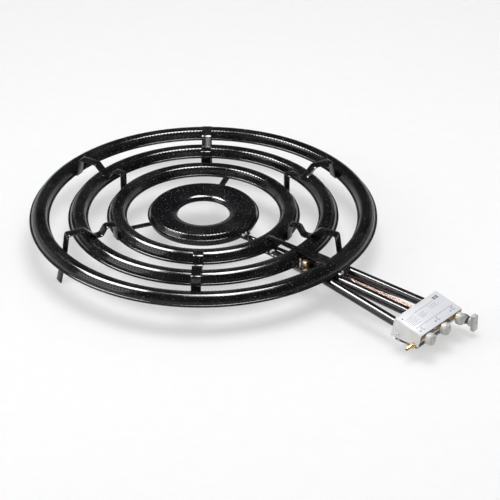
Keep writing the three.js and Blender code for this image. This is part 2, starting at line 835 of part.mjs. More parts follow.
function bracketGeometry() {
  const inner = boxHalf - boxSheet - seatGap;
  const earInner = boxHalf + seatGap;
  const earOuter = earInner + earWidth;
  const earTop = railHeight + earHeight / 2;
  const earBottom = railHeight - earHeight / 2 - 2;
  const stepHeight = boxBottom - 2;
  const top = lipHeight + bracketTop;
  const face = outline([
    [-inner, shelfBottom],
    [inner - earWidth, shelfBottom],
    [inner - earWidth, earBottom],
    [earOuter, earBottom],
    [earOuter, earTop],
    [earInner, earTop],
    [earInner, stepHeight],
    [inner, stepHeight],
    [inner, top],
    [-inner, top],
  ]);
  const plate = new THREE.ExtrudeGeometry(face, { depth: bracketSheet, bevelEnabled: false });
  plate.rotateX(Math.PI / 2).rotateZ(Math.PI / 2).translate(bracketRear, 0, 0);
  const shelf = block(
    point(bracketRear, -inner, shelfBottom),
    point(railX + railRadius + 3, inner - earWidth, shelfTop),
  );
  const tab = (sign) =>
    block(
      point(bracketRear, Math.min(sign * inner, sign * (inner - boxSheet)), stepHeight),
      point(bracketRear + tabLength, Math.max(sign * inner, sign * (inner - boxSheet)), lipHeight - tapDrop),
    );
  const tubeHole = (offset, height, radius) =>
    rod(point(bracketRear - 1, offset, height), point(bracketRear + 3, offset, height), radius, knobFacets);
  const holes = tapOffsets.map((offset) => tubeHole(offset, tapHeight, tubeRadius + tubeHoleGap));
  holes.push(tubeHole(endTapOffset, railHeight, drumTubeRadius + tubeHoleGap));
  const leadSlot = block(
    point(bracketRear - 1, leadFirstOffset - 3, tapHeight - leadDrop - 3),
    point(bracketRear + 3, leadFirstOffset + 3 * leadPitch + 3, top + 1),
  );
  const screwX = boxRear + screwSetback;
  const screwHole = rod(
    point(screwX, -boxHalf, lipHeight - screwDrop),
    point(screwX, boxHalf, lipHeight - screwDrop),
    screwShankRadius + seatGap,
  );
  return cut(join(plate, shelf, tab(1), tab(-1)), ...holes, leadSlot, screwHole);
}

addNode("tube_bracket", bracketGeometry(), steel);

function screwGeometry(sign) {
  const screwX = boxRear + screwSetback;
  const height = lipHeight - screwDrop;
  const seat = boxHalf + seatGap;
  const head = rod(
    point(screwX, sign * seat, height),
    point(screwX, sign * (seat + screwHeadDepth), height),
    screwRadius,
    tubeFacets,
    screwRadius - 1,
  );
  const shank = rod(
    point(screwX, sign * (boxHalf - 3 * boxSheet - 1), height),
    point(screwX, sign * (seat + 1), height),
    screwShankRadius,
  );
  return join(head, shank);
}

[-1, 1].forEach((sign, index) => {
  addNode(`cover_screw_${index + 1}`, screwGeometry(sign), steel);
});

// ---------- Thermocouples ----------

// A probe beside a burner lip: a tab under the channel, a nut standing on the tab and a steel tip beside it.
function probeGeometry(probe) {
  const x = probe.radius + probeStandoff;
  const tabTop = probe.base - seatGap;
  const tabBottom = tabTop - probeTab;
  const nutX = probe.radius + probe.nutRadius + 2 * seatGap;
  const tab = block(
    point(probe.radius - probeTabReach, probe.tipOffset - probeStandoff, tabBottom),
    point(nutX + probe.nutRadius, probe.leadOffset + probeStandoff, tabTop),
  );
  const nutFoot = point(nutX, probe.nutOffset, tabTop - probe.nutDrop);
  const nut = rod(nutFoot, nutFoot.clone().setZ(tabTop + probe.nutHeight), probe.nutRadius, 6);
  const tipFoot = point(x, probe.tipOffset, tabBottom);
  const tip = rod(tipFoot, tipFoot.clone().setZ(probe.base + probe.tipHeight), probeRadius, smallFacets);
  return join(tab, nut, tip);
}

// A copper lead: down from its tab, under the middle tube where it must, and along its lane to the valve box.
function leadGeometry(probe) {
  const x = probe.radius + probeStandoff;
  const top = probe.base - 2 * seatGap - probeTab;
  const high = tapHeight - leadDrop;
  const under = leadUnderOffset + probe.lane * leadUnderPitch;
  const low = tapHeight - tubeRadius;
  const lane = leadFirstOffset + probe.lane * leadPitch;
  const start = [point(x, probe.leadOffset, top), point(x, probe.leadOffset, top - leadBend / 2)];
  const along = probe.underTube
    ? [
        point(x + leadBend / 2, probe.leadOffset, low + leadBend / 2),
        point(x + 3 * leadBend, under, low),
        point(x + 6 * leadBend, under, low),
        point(leadTurn, under, low - leadFall),
        point(leadTurn + 5 * leadBend, lane, high),
        point(leadTurn + 7 * leadBend, lane, high),
      ]
    : [point(x + 2 * leadBend, lane, high), point(x + 4 * leadBend, lane, high)];
  const corners = [...start, ...along, point(boxRear + leadIntoBox, lane, high)];
  const extrudePath = new THREE.CatmullRomCurve3(corners, false, "centripetal");
  const steps = corners.length * leadSteps;
  return new THREE.ExtrudeGeometry(circleShape(leadRadius, leadFacets), { steps, extrudePath, bevelEnabled: false });
}

const smallNut = {
  nutRadius: smallNutRadius,
  nutHeight: smallNutHeight,
  nutDrop: smallNutDrop,
  tipHeight: smallTipHeight,
};
const largeNut = {
  nutRadius: largeNutRadius,
  nutHeight: largeNutHeight,
  nutDrop: largeNutDrop,
  tipHeight: largeTipHeight,
};
const probes = [0, 1, 2, 3].map((index) => ({
  name: index < ringNames.length ? ringNames[index] : "centre_burner",
  radius: index < ringNames.length ? ringRadii[index] : drumRadius,
  base: index < ringNames.length ? lipHeight : drumLipHeight,
  ...(index === largeProbe ? largeNut : smallNut),
  nutOffset: nutOffsets[index],
  tipOffset: tipOffsets[index],
  leadOffset: leadOffsets[index],
  lane: leadLanes[index],
  underTube: leadsUnderTube[index],
}));

probes.forEach((probe) => {
  addNode(`${probe.name}_probe`, probeGeometry(probe), steel);
  addNode(`${probe.name}_lead`, leadGeometry(probe), copper);
});

// ---------- Place the model ----------

const reach = knobRearEnd + skirtDepth + gripDepth;
burner.position.set((outerRadius - reach) / 2, 0, 0);

export default burner;
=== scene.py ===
# %% [markdown]
# A four-ring gas burner stand, dressed round its CAD frame. The frame holds every part at its true size and
# place, so this file only adds what the eye wants: rounded shoulders, gas ports, bent straps, knobs,
# finishes. All lengths are in metres. A new piece stands for the CAD nodes that it replaces and rides on
# their body.

# %% Load the frame
import math

import bpy
from mathutils import Matrix, Vector


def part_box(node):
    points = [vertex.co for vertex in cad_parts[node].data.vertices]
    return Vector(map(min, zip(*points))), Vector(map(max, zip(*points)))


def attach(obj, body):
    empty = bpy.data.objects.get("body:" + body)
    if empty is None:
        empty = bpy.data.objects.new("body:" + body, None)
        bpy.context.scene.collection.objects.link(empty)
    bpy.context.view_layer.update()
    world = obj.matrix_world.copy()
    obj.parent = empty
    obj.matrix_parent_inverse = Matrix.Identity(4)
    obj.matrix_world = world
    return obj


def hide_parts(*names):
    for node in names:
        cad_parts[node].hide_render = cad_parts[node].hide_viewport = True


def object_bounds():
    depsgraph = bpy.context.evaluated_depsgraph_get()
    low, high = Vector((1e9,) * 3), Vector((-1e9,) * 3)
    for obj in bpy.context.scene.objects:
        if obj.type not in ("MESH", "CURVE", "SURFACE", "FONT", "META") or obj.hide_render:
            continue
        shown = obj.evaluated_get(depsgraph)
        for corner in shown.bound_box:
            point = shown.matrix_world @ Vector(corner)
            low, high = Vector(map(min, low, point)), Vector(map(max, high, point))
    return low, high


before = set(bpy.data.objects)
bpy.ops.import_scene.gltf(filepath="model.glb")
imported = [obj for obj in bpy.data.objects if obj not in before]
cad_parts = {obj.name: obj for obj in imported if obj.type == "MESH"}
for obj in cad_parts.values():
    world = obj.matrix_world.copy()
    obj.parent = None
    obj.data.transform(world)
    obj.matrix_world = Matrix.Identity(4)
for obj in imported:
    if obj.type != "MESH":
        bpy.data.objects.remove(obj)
cad_low, cad_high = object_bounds()
print("CAD box", [round(side, 4) for side in cad_high - cad_low])

# %% [markdown]
# The camera comes first, because it fixes what has to be seen. The object is wide and low, seen from far
# away and a little above, from the corner between the front and the valve box. A long lens keeps the rings'
# ellipses almost parallel, as they are when somebody steps well back from the stand.

# %% Camera
CAMERA_PLACE = (3.6186, -4.245, 3.425)
CAMERA_TURN = (math.radians(58.77), 0, math.radians(40.6))
CAMERA_LENS = 183.6

bpy.ops.object.camera_add(location=CAMERA_PLACE, rotation=CAMERA_TURN)
camera = bpy.context.object
camera.data.lens = CAMERA_LENS
camera.data.clip_end = 100
bpy.context.scene.camera = camera
bpy.context.scene.view_settings.view_transform = "Standard"

# %% [markdown]
# The floor is a big pale plane with soft light from a white world. A lamp hangs right overhead, and a
# weaker one on the left lifts the near sides. Both are large enough to leave soft shadows. A third lamp is
# seen only in reflections: it draws the thin bright line along every shoulder that leans towards the
# viewer. A fourth does the same for the tubes, which lie along +X and so mirror what stands far out towards
# -X.

# %% Floor and light
FLOOR_SIZE = 30
OVERHEAD_PLACE = (0.1, 0.2, 3.2)
OVERHEAD_SIZE = 1.8
OVERHEAD_POWER = 48
SIDE_PLACE = (-1.8, -3.4, 2.0)
SIDE_SIZE = 2.5
SIDE_POWER = 40
GLINT_PLACE = (0.0, 0.4, 3.1)
GLINT_SIZE = 1.3
GLINT_POWER = 140
TUBE_GLINT_PLACE = (-1.5, -0.6, 2.65)
TUBE_GLINT_SIZE = 1.3
TUBE_GLINT_POWER = 170
ROOM_LIGHT = 0.5
ROOM_HORIZON = 0.75
ROOM_CEILING = 0.03


def aim_lamp(name, place, size, power):
    """Adds a square lamp at a place, turned to face the middle of the object."""
    bpy.ops.object.light_add(type="AREA", location=place)
    lamp = bpy.context.object
    lamp.name = name
    lamp.data.size = size
    lamp.data.energy = power
    lamp.rotation_euler = Vector(place).to_track_quat("Z", "Y").to_euler()
    return lamp


bpy.ops.mesh.primitive_plane_add(size=FLOOR_SIZE, location=(0, 0, cad_low.z - 0.0005))
floor = bpy.context.object
floor.name = "floor"
overhead = aim_lamp("overhead_lamp", OVERHEAD_PLACE, OVERHEAD_SIZE, OVERHEAD_POWER)
side_lamp = aim_lamp("side_lamp", SIDE_PLACE, SIDE_SIZE, SIDE_POWER)
glint_lamp = aim_lamp("glint_lamp", GLINT_PLACE, GLINT_SIZE, GLINT_POWER)
tube_glint = aim_lamp("tube_glint_lamp", TUBE_GLINT_PLACE, TUBE_GLINT_SIZE, TUBE_GLINT_POWER)
for lamp in (glint_lamp, tube_glint):
    lamp.visible_diffuse = False

# %% [markdown]
# Materials are node trees, and most of their work is arithmetic. A small class lets node outputs be added
# and multiplied as plain numbers, so a finish reads like a formula. Another class holds one material: it
# makes the nodes, links what varies and sets what doesn't on the shader itself.

# %% Material helpers


class Flow:
    """A number that flows out of one material node and can be used in sums."""

    def __init__(self, tree, source):
        self.tree = tree
        self.source = source

    def math(self, operation, *others):
        node = self.tree.nodes.new("ShaderNodeMath")
        node.operation = operation
        for place, value in enumerate((self, *others)):
            if isinstance(value, Flow):
                self.tree.links.new(value.source, node.inputs[place])
            else:
                node.inputs[place].default_value = value
        return Flow(self.tree, node.outputs[0])

    def __add__(self, other):
        return self.math("ADD", other)

    def __sub__(self, other):
        return self.math("SUBTRACT", other)

    def __mul__(self, other):
        return self.math("MULTIPLY", other)

    def __gt__(self, other):
        return self.math("GREATER_THAN", other)

    def __lt__(self, other):
        return self.math("LESS_THAN", other)

    def between(self, low, high):
        """0 below low, 1 above high, and a smooth ramp from one to the other."""
        node = self.tree.nodes.new("ShaderNodeMapRange")
        node.interpolation_type = "SMOOTHSTEP"
        node.inputs["From Min"].default_value = low
        node.inputs["From Max"].default_value = high
        self.tree.links.new(self.source, node.inputs["Value"])
        return Flow(self.tree, node.outputs["Result"])


class Finish:
    """One material with a Principled shader, drawn in the object's own coordinates."""

    def __init__(self, name, **constants):
        self.material = bpy.data.materials.new(name)
        self.material.use_nodes = True
        self.tree = self.material.node_tree
        self.shader = self.tree.nodes["Principled BSDF"]
        coordinates = self.tree.nodes.new("ShaderNodeTexCoord")
        self.place = Flow(self.tree, coordinates.outputs["Object"])
        for name, value in constants.items():
            self.shader.inputs[name.replace("_", " ")].default_value = value

    def node(self, kind, output, settings=None, **inputs):
        """Any other node: settings are its own properties, inputs are numbers, colours or flows."""
        made = self.tree.nodes.new(kind)
        for name, value in (settings or {}).items():
            setattr(made, name, value)
        for name, value in inputs.items():
            socket = made.inputs[name.replace("_", " ")]
            if isinstance(value, Flow):
                self.tree.links.new(value.source, socket)
            else:
                socket.default_value = value
        return Flow(self.tree, made.outputs[output])

    def stretched(self, scale):
        """The coordinates squeezed by a different amount along each axis."""
        return self.node("ShaderNodeMapping", "Vector", Vector=self.place, Scale=scale)

    def noise(self, scale, detail=2.0, place=None):
        where = place or self.place
        return self.node("ShaderNodeTexNoise", "Fac", Vector=where, Scale=scale, Detail=detail)

    def axes(self):
        """The three coordinates as numbers of their own."""
        split = self.tree.nodes.new("ShaderNodeSeparateXYZ")
        self.tree.links.new(self.place.source, split.inputs[0])
        return [Flow(self.tree, output) for output in split.outputs]

    def mix(self, factor, low, high):
        """A colour between two others; a colour is a list of three numbers or a flow."""
        made = self.tree.nodes.new("ShaderNodeMix")
        made.data_type = "RGBA"
        self.tree.links.new(factor.source, made.inputs["Factor"])
        colour_sockets = [socket for socket in made.inputs if socket.type == "RGBA"]
        for socket, colour in zip(colour_sockets, (low, high)):
            if isinstance(colour, Flow):
                self.tree.links.new(colour.source, socket)
            else:
                socket.default_value = (*colour, 1)
        result = [socket for socket in made.outputs if socket.type == "RGBA"][0]
        return Flow(self.tree, result)

    def feed(self, **inputs):
        """Links flows to the shader's sockets."""
        for name, value in inputs.items():
            self.tree.links.new(value.source, self.shader.inputs[name.replace("_", " ")])

    def bump(self, height, distance, strength=1.0):
        """Raises the surface by a height, in metres at a height of 1."""
        bumped = self.node("ShaderNodeBump", "Normal", Height=height, Distance=distance, Strength=strength)
        self.tree.links.new(bumped.source, self.shader.inputs["Normal"])


# %% [markdown]
# Vitreous enamel is glass fused to steel. It is almost black and very shiny, with a gentle ripple from the
# firing. Tiny pale specks in its colour are painted highlights, standing for the small glints that sparkle on
# it. The specks come from a cell pattern: only cells whose random number is high get one, so that they
# scatter. The same finish covers rings, straps and tubes.

# %% Enamel
ENAMEL_BLACK = (0.006, 0.006, 0.007)
ENAMEL_WORN = (0.016, 0.016, 0.017)
# Painted highlight: the pale grey of the glint specks on the enamel.
PAINTED_GLINT_GREY = (0.45, 0.45, 0.47)
# Painted shade: the dark inside the gas ports, drawn as matt black discs.
HOLE_SHADE_BLACK = (0.003, 0.003, 0.003)
HOLE_SHADE_GREY = (0.008, 0.008, 0.008)


def make_enamel():
    finish = Finish("black_enamel", Coat_Roughness=0.05, Specular_IOR_Level=0.4)
    glint_cells = finish.node("ShaderNodeTexVoronoi", "Distance", Vector=finish.place, Scale=300.0)
    chance = finish.node("ShaderNodeTexWhiteNoise", "Value", Vector=finish.node(
        "ShaderNodeTexVoronoi", "Position", Vector=finish.place, Scale=300.0))
    # The mask of painted glint specks: pale dots that stand for sparkle highlights.
    painted_glint = (glint_cells < 0.155) * (chance > 0.66)
    cloud = finish.noise(14.0, 4.0).between(0.35, 0.75)
    colour = finish.mix(painted_glint, finish.mix(cloud, ENAMEL_BLACK, ENAMEL_WORN), PAINTED_GLINT_GREY)
    ripple = finish.noise(90.0, 2.0)
    finish.feed(Base_Color=colour, Roughness=cloud * 0.08 + 0.12, Coat_Weight=cloud * 0.1 + 0.2)
    finish.bump(ripple, 0.0001, 0.5)
    return finish.material


# The port discs carry painted shade: matt black that stands for the dark inside each hole.
def make_port_hole_shade():
    finish = Finish("soot", Specular_IOR_Level=0.1)
    cloud = finish.noise(300.0, 2.0).between(0.3, 0.7)
    finish.feed(Base_Color=finish.mix(cloud, HOLE_SHADE_BLACK, HOLE_SHADE_GREY), Roughness=cloud * 0.1 + 0.8)
    return finish.material


enamel = make_enamel()
soot = make_port_hole_shade()

# %% [markdown]
# The valve box is sheet steel under white powder paint, which dries with a fine orange-peel texture. The
# label on it is a smooth plastic film with a cooler tint. Its print is a dark grey ink with no gloss.

# %% Paint, film and ink
PAINT_WHITE = (0.78, 0.78, 0.76)
PAINT_SHADE = (0.7, 0.7, 0.685)
FILM_WHITE = (0.83, 0.84, 0.89)
FILM_SHADE = (0.79, 0.8, 0.86)
INK_GREY = (0.03, 0.03, 0.035)
INK_FADED = (0.06, 0.06, 0.065)


def make_paint(name, light, shade, roughness, peel):
    finish = Finish(name)
    patches = finish.noise(22.0, 3.0).between(0.3, 0.7)
    finish.feed(Base_Color=finish.mix(patches, light, shade), Roughness=patches * 0.08 + roughness)
    finish.bump(finish.noise(peel, 2.0), 0.00008, 0.6)
    return finish.material


white_paint = make_paint("white_paint", PAINT_WHITE, PAINT_SHADE, 0.4, 700.0)
label_film = make_paint("label_film", FILM_WHITE, FILM_SHADE, 0.3, 260.0)
ink = make_paint("label_ink", INK_GREY, INK_FADED, 0.55, 900.0)

# %% [markdown]
# Knobs are moulded in a light grey plastic with a fine spark texture. The low tap's sleeve and the pointer
# dots are a darker plastic. Texture and colour both come from noise, at the scale of a moulding's grain.

# %% Plastics
KNOB_GREY = (0.6, 0.6, 0.57)
KNOB_SHADE = (0.52, 0.52, 0.495)
DARK_GREY = (0.13, 0.135, 0.14)
DARK_SHADE = (0.09, 0.095, 0.1)

grey_plastic = make_paint("grey_plastic", KNOB_GREY, KNOB_SHADE, 0.42, 1500.0)
dark_plastic = make_paint("dark_plastic", DARK_GREY, DARK_SHADE, 0.45, 1500.0)

# %% [markdown]
# Brass taps, copper leads and bright steel are bare metals. Each is fully metallic, and varies in gloss as
# metal does when it has been handled; brass and steel vary in tint the same way, while the copper's dark
# bands are painted shade between the turns of its wrap. Turning or drawing leaves fine lines, made by a noise
# that is squeezed along one axis, so each metal says along which way its lines run.

# %% Metals
BRASS_LIGHT = (0.8, 0.64, 0.4)
BRASS_DULL = (0.62, 0.48, 0.28)
COPPER_LIGHT = (0.6, 0.44, 0.37)
# Painted shade: the near-black colour of the bands between the wrap's turns.
COPPER_GROOVE_SHADE = (0.1, 0.065, 0.055)
WIRE_WRAP = 78.0
STEEL_LIGHT = (0.62, 0.62, 0.62)
STEEL_DULL = (0.46, 0.46, 0.47)


def make_metal(name, light, dull, roughness, lines):
    finish = Finish(name, Metallic=1.0)
    tarnish = finish.noise(60.0, 5.0).between(0.35, 0.7)
    scratches = finish.noise(1.0, 3.0, finish.stretched(lines))
    finish.feed(
        Base_Color=finish.mix(tarnish, light, dull),
        Roughness=tarnish * 0.15 + scratches * 0.12 + roughness,
    )
    finish.bump(scratches, 0.00006, 0.5)
    return finish.material


brass = make_metal("brass", BRASS_LIGHT, BRASS_DULL, 0.16, (1800.0, 160.0, 160.0))


def make_wrapped_copper():
    """Copper wrapped in a fine wire: a bump raises the turns, and dark bands of painted shade lie between its
    pale copper turns.
    """
    finish = Finish("copper", Metallic=1.0)
    wrap_ridges_and_shade = finish.node("ShaderNodeTexWave", "Fac", Vector=finish.place, Scale=WIRE_WRAP, Distortion=0.6)
    tarnish = finish.noise(60.0, 5.0).between(0.35, 0.7)
    finish.feed(
        # The wave mask lays painted shade between the turns of the wrap.
        Base_Color=finish.mix(wrap_ridges_and_shade.between(0.25, 0.75), COPPER_GROOVE_SHADE, COPPER_LIGHT),
        Roughness=tarnish * 0.15 + 0.25,
    )
    finish.bump(wrap_ridges_and_shade, 0.0003, 0.6)
    return finish.material


copper = make_wrapped_copper()
steel = make_metal("steel", STEEL_LIGHT, STEEL_DULL, 0.2, (90.0, 1400.0, 1400.0))

# %% [markdown]
# The floor is matt and nearly white. For the camera it is part plain white, which keeps its shadow light.
# The room is white for the camera and gives an even, weaker light. In reflections it is bright near the
# horizon and dark overhead, brighter on the left than on the right, so that black enamel stays black
# between bright lines.

# %% Floor and world finish
FLOOR_WHITE = (0.93, 0.93, 0.935)
FLOOR_SHADE = (0.91, 0.91, 0.915)

FLOOR_GLOW = 0.42
FLOOR_GLOW_LEVEL = 1.08


def make_floor():
    """Matt paper, mixed with plain white where the camera sees it, so that its shadows stay light."""
    material = make_paint("floor_paper", FLOOR_WHITE, FLOOR_SHADE, 0.85, 40.0)
    tree = material.node_tree
    tree.nodes["Principled BSDF"].inputs["Specular IOR Level"].default_value = 0.1
    glow = tree.nodes.new("ShaderNodeEmission")
    glow.inputs["Strength"].default_value = FLOOR_GLOW_LEVEL
    blend = tree.nodes.new("ShaderNodeMixShader")
    seen = Flow(tree, tree.nodes.new("ShaderNodeLightPath").outputs["Is Camera Ray"])
    tree.links.new((seen * FLOOR_GLOW).source, blend.inputs[0])
    tree.links.new(tree.nodes["Principled BSDF"].outputs[0], blend.inputs[1])
    tree.links.new(glow.outputs[0], blend.inputs[2])
    tree.links.new(blend.outputs[0], tree.nodes["Material Output"].inputs["Surface"])
    return material


floor.data.materials.append(make_floor())


def light_world():
    """One level for the camera, one for light on matt surfaces, and a ramp for reflections."""
    world = bpy.data.worlds.new("white_room")
    bpy.context.scene.world = world
    world.use_nodes = True
    tree = world.node_tree
    background = tree.nodes["Background"]
    background.inputs["Color"].default_value = (1, 1, 1, 1)
    path = tree.nodes.new("ShaderNodeLightPath")
    seen = Flow(tree, path.outputs["Is Camera Ray"])
    mirrored = Flow(tree, path.outputs["Is Glossy Ray"])
    coordinates = tree.nodes.new("ShaderNodeTexCoord")
    split = tree.nodes.new("ShaderNodeSeparateXYZ")
    tree.links.new(coordinates.outputs["Generated"], split.inputs[0])
    across, away, up = (Flow(tree, output) for output in split.outputs)
    leftness = (across + away).between(-1.2, 1.2) * -0.5 + 1.0
    ramp = up.between(0.0, 0.45) * (ROOM_CEILING - ROOM_HORIZON) + ROOM_HORIZON
    unseen = mirrored * (ramp * leftness - ROOM_LIGHT) + ROOM_LIGHT
    level = seen * (unseen * -1.0 + 1.0) + unseen
    tree.links.new(level.source, background.inputs["Strength"])


light_world()

# %% [markdown]
# These helpers hold the habits of modelling with operators. An operator acts on whatever is selected, so each
# step starts from nothing selected. Faces and edges are picked by a test in code. A finished piece has its
# place in its mesh and its origin at the frame's origin, as the CAD nodes have.

# %% Modelling helpers
SMOOTH_ANGLE = math.radians(35)
MODES = {"vertices": (True, False, False), "edges": (False, True, False), "polygons": (False, False, True)}


def start_fresh():
    """Leaves edit mode and selects nothing."""
    if bpy.context.mode != "OBJECT":
        bpy.ops.object.mode_set(mode="OBJECT")
    bpy.ops.object.select_all(action="DESELECT")


def take(piece):
    """Makes one piece the selected and active one."""
    start_fresh()
    piece.select_set(True)
    bpy.context.view_layer.objects.active = piece
    return piece


def pick(piece, kind, test):
    """Selects the vertices, edges or polygons that pass a test, and enters edit mode."""
    take(piece)
    mesh = piece.data
    for group in (mesh.vertices, mesh.edges, mesh.polygons):
        group.foreach_set("select", [False] * len(group))
    for part in getattr(mesh, kind):
        part.select = bool(test(part))
    bpy.context.tool_settings.mesh_select_mode = MODES[kind]
    bpy.ops.object.mode_set(mode="EDIT")


def shape(piece, kind, **settings):
    """Adds a modifier with its settings and applies it."""
    take(piece)
    modifier = piece.modifiers.new(kind, kind)
    for name, value in settings.items():
        setattr(modifier, name, value)
    bpy.ops.object.modifier_apply(modifier=modifier.name)


def soften(piece, width, segments=2, angle=35):
    """Rounds every edge sharper than an angle."""
    shape(
        piece,
        "BEVEL",
        width=width,
        segments=segments,
        limit_method="ANGLE",
        angle_limit=math.radians(angle),
        harden_normals=False,
    )


def settle(piece):
    """Puts the place and turn of a piece into its mesh."""
    take(piece)
    bpy.ops.object.transform_apply(location=True, rotation=True, scale=True)
    return piece


def join_pieces(name, pieces):
    """One object from several, settled first."""
    for piece in pieces:
        settle(piece)
    start_fresh()
    for piece in pieces:
        piece.select_set(True)
    bpy.context.view_layer.objects.active = pieces[0]
    bpy.ops.object.join()
    joined = bpy.context.object
    joined.name = name
    return joined


def dress(piece, name, body, finish, slot, *nodes):
    """Names a finished piece, gives it its finish and body, and lets it stand for CAD nodes."""
    settle(piece)
    bpy.ops.object.shade_smooth_by_angle(angle=SMOOTH_ANGLE)
    piece.name = name
    piece.data.name = name
    piece.data.materials.clear()
    piece.data.materials.append(finish)
    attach(piece, body)
    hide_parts(*nodes)
    print(name, len(piece.data.polygons), "faces")
    return piece


# %% [markdown]
# Round things are drawn as half a section and spun. A circle with as many corners as the section has points
# is the start: its corners are laid on the section, and the spin operator sweeps them round an upright
# axis. The seam where the sweep meets its start is merged away.

# %% Turning
MERGE_DISTANCE = 1e-6


def turned(section, facets, centre=(0, 0, 0)):
    """Spins a closed section of (radius, height) points about an upright line through a centre."""
    start_fresh()
    bpy.ops.mesh.primitive_circle_add(vertices=len(section), radius=1, fill_type="NOTHING")
    piece = bpy.context.object
    for vertex, (radius, height) in zip(piece.data.vertices, section):
        vertex.co = (radius, 0, height)
    pick(piece, "vertices", lambda vertex: True)
    bpy.ops.mesh.spin(steps=facets, angle=2 * math.pi, center=(0, 0, 0), axis=(0, 0, 1))
    bpy.ops.mesh.select_all(action="SELECT")
    bpy.ops.mesh.remove_doubles(threshold=MERGE_DISTANCE)
    bpy.ops.mesh.normals_make_consistent(inside=False)
    start_fresh()
    piece.location = centre
    return piece


# %% [markdown]
# The burners are pressed steel sheet. A pressing is drawn by its middle line: the corners of the line are
# rounded, the line is given the sheet's thickness on both sides, and its two free edges are closed with small
# half circles. Spinning that outline gives a shell of even thickness, just as a press makes it.

# %% Pressed sheet
SHEET = 0.002
CORNER_STEPS = 6
EDGE_STEPS = 4


def rounded_line(corners, bend):
    """A line with each inner corner replaced by a short curve."""
    line = [Vector(corners[0])]
    for before, corner, after in zip(corners, corners[1:], corners[2:]):
        corner = Vector(corner)
        back = Vector(before) - corner
        ahead = Vector(after) - corner
        reach = min(bend, back.length * 0.48, ahead.length * 0.48)
        first = corner + back.normalized() * reach
        last = corner + ahead.normalized() * reach
        for step in range(CORNER_STEPS + 1):
            share = step / CORNER_STEPS
            line.append(first.lerp(corner, share).lerp(corner.lerp(last, share), share))
    return line + [Vector(corners[-1])]


def pressed(corners, bend, thickness=SHEET):
    """The outline of a sheet of an even thickness along a line of (radius, height) corners."""
    line = rounded_line(corners, bend)
    half = thickness / 2
    outside, inside = [], []
    for index, here in enumerate(line):
        along = line[min(index + 1, len(line) - 1)] - line[max(index - 1, 0)]
        side = Vector((along.y, -along.x)).normalized() * half
        outside.append(here + side)
        inside.append(here - side)

    def free_edge(end, before):
        away = (end - before).normalized()
        side = Vector((-away.y, away.x))
        angles = [math.pi * step / EDGE_STEPS for step in range(1, EDGE_STEPS)]
        return [end - away * half + (side * math.cos(a) + away * math.sin(a)) * half for a in angles]

    near = free_edge(line[0], line[1])
    far = free_edge(line[-1], line[-2])
    for end, before in ((0, 1), (-1, -2)):
        shift = (line[before] - line[end]).normalized() * half
        outside[end] += shift
        inside[end] += shift
    return [tuple(point) for point in outside + far + inside[::-1] + near]


# %% [markdown]
# Seen in section, a ring burner rises from a flat flange up a short wall, leans in along a sloping port
# band, rounds over a low crown and falls steeply inside. The line's corners are measured from the rims of
# the frame's own pieces, so the visible channel always fills the CAD channel.

# %% Channel section
CHANNEL_WIDTH = 0.052
FLANGE = 0.005
PORT_SLOPE_FOOT = 0.012
PORT_SLOPE_INSET = 0.0145
PORT_SLOPE_DROP = 0.004
PORT_PLACE = 0.6
INNER_WALL = 0.0045
INNER_SHOULDER = 0.009
CHANNEL_BEND = 0.007
SEAT_GAP = 0.0003
RING_FACETS = 180

RINGS = ("outer_ring", "second_ring", "third_ring")
ring_low, ring_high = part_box("outer_ring_base")
ring_centre = ((ring_low.x + ring_high.x) / 2, (ring_low.y + ring_high.y) / 2)
lip_height = ring_low.z
ring_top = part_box("outer_ring_top")[1].z


def ring_radius(node):
    low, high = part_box(node)
    return (high.y - low.y) / 2


def channel_line(inner, outer, low, top):
    """The middle line of a channel, from its outer rim over the crown to its inner rim."""
    flange = low + SHEET / 2
    crown = top - SHEET / 2
    slope_foot = Vector((outer - FLANGE - 0.003, low - SHEET - SEAT_GAP + PORT_SLOPE_FOOT))
    slope_head = Vector((outer - PORT_SLOPE_INSET, crown - PORT_SLOPE_DROP))
    return [
        (outer - SEAT_GAP, flange),
        (outer - FLANGE, flange),
        slope_foot,
        slope_foot.lerp(slope_head, PORT_PLACE),
        slope_head,
        (outer - PORT_SLOPE_INSET - 0.006, crown - 0.0005),
        ((inner + outer) / 2, crown),
        (inner + 1.5 * INNER_SHOULDER, crown - 0.0015),
        (inner + INNER_SHOULDER, crown - 0.0055),
        (inner + INNER_WALL, flange),
        (inner + SEAT_GAP, flange),
    ]


# %% [markdown]
# Gas burns at hundreds of small ports in two staggered rows, one row on each side of a shoulder. A port is a
# low round rim on the sheet with a matt black disc in it, which paints the shade inside the hole. The spin
# operator copies one all round in one step, and turning a row by half its pitch staggers it against the
# other.

# %% Ports
PORT_RIM_RADIUS = 0.0021
PORT_RADIUS = 0.0017
PORT_RIM_RISE = 0.00025
PORT_RISE = 0.0004
PORT_STUB = 0.0024
PORT_PITCH = 0.009
PORT_SIDES = 8


def port_row(radius, height, tilt, pitch, phase, size, rise):
    """A row of discs on a round sheet that faces out and up by a tilt in degrees; over 90 it faces in."""
    count = round(2 * math.pi * radius / pitch)
    lean = math.radians(tilt)
    away = Vector((math.cos(lean), 0, math.sin(lean)))
    start_fresh()
    bpy.ops.mesh.primitive_cylinder_add(
        vertices=PORT_SIDES,
        radius=size,
        depth=PORT_STUB,
        location=Vector((radius, 0, height)) + away * (rise - PORT_STUB / 2),
        rotation=(0, math.pi / 2 - lean, 0),
    )
    row = settle(bpy.context.object)
    pick(row, "polygons", lambda face: True)
    turn = 2 * math.pi * (count - 1) / count
    bpy.ops.mesh.spin(steps=count - 1, angle=turn, dupli=True, center=(0, 0, 0), axis=(0, 0, 1))
    start_fresh()
    row.rotation_euler.z = 2 * math.pi / count * phase
    return row


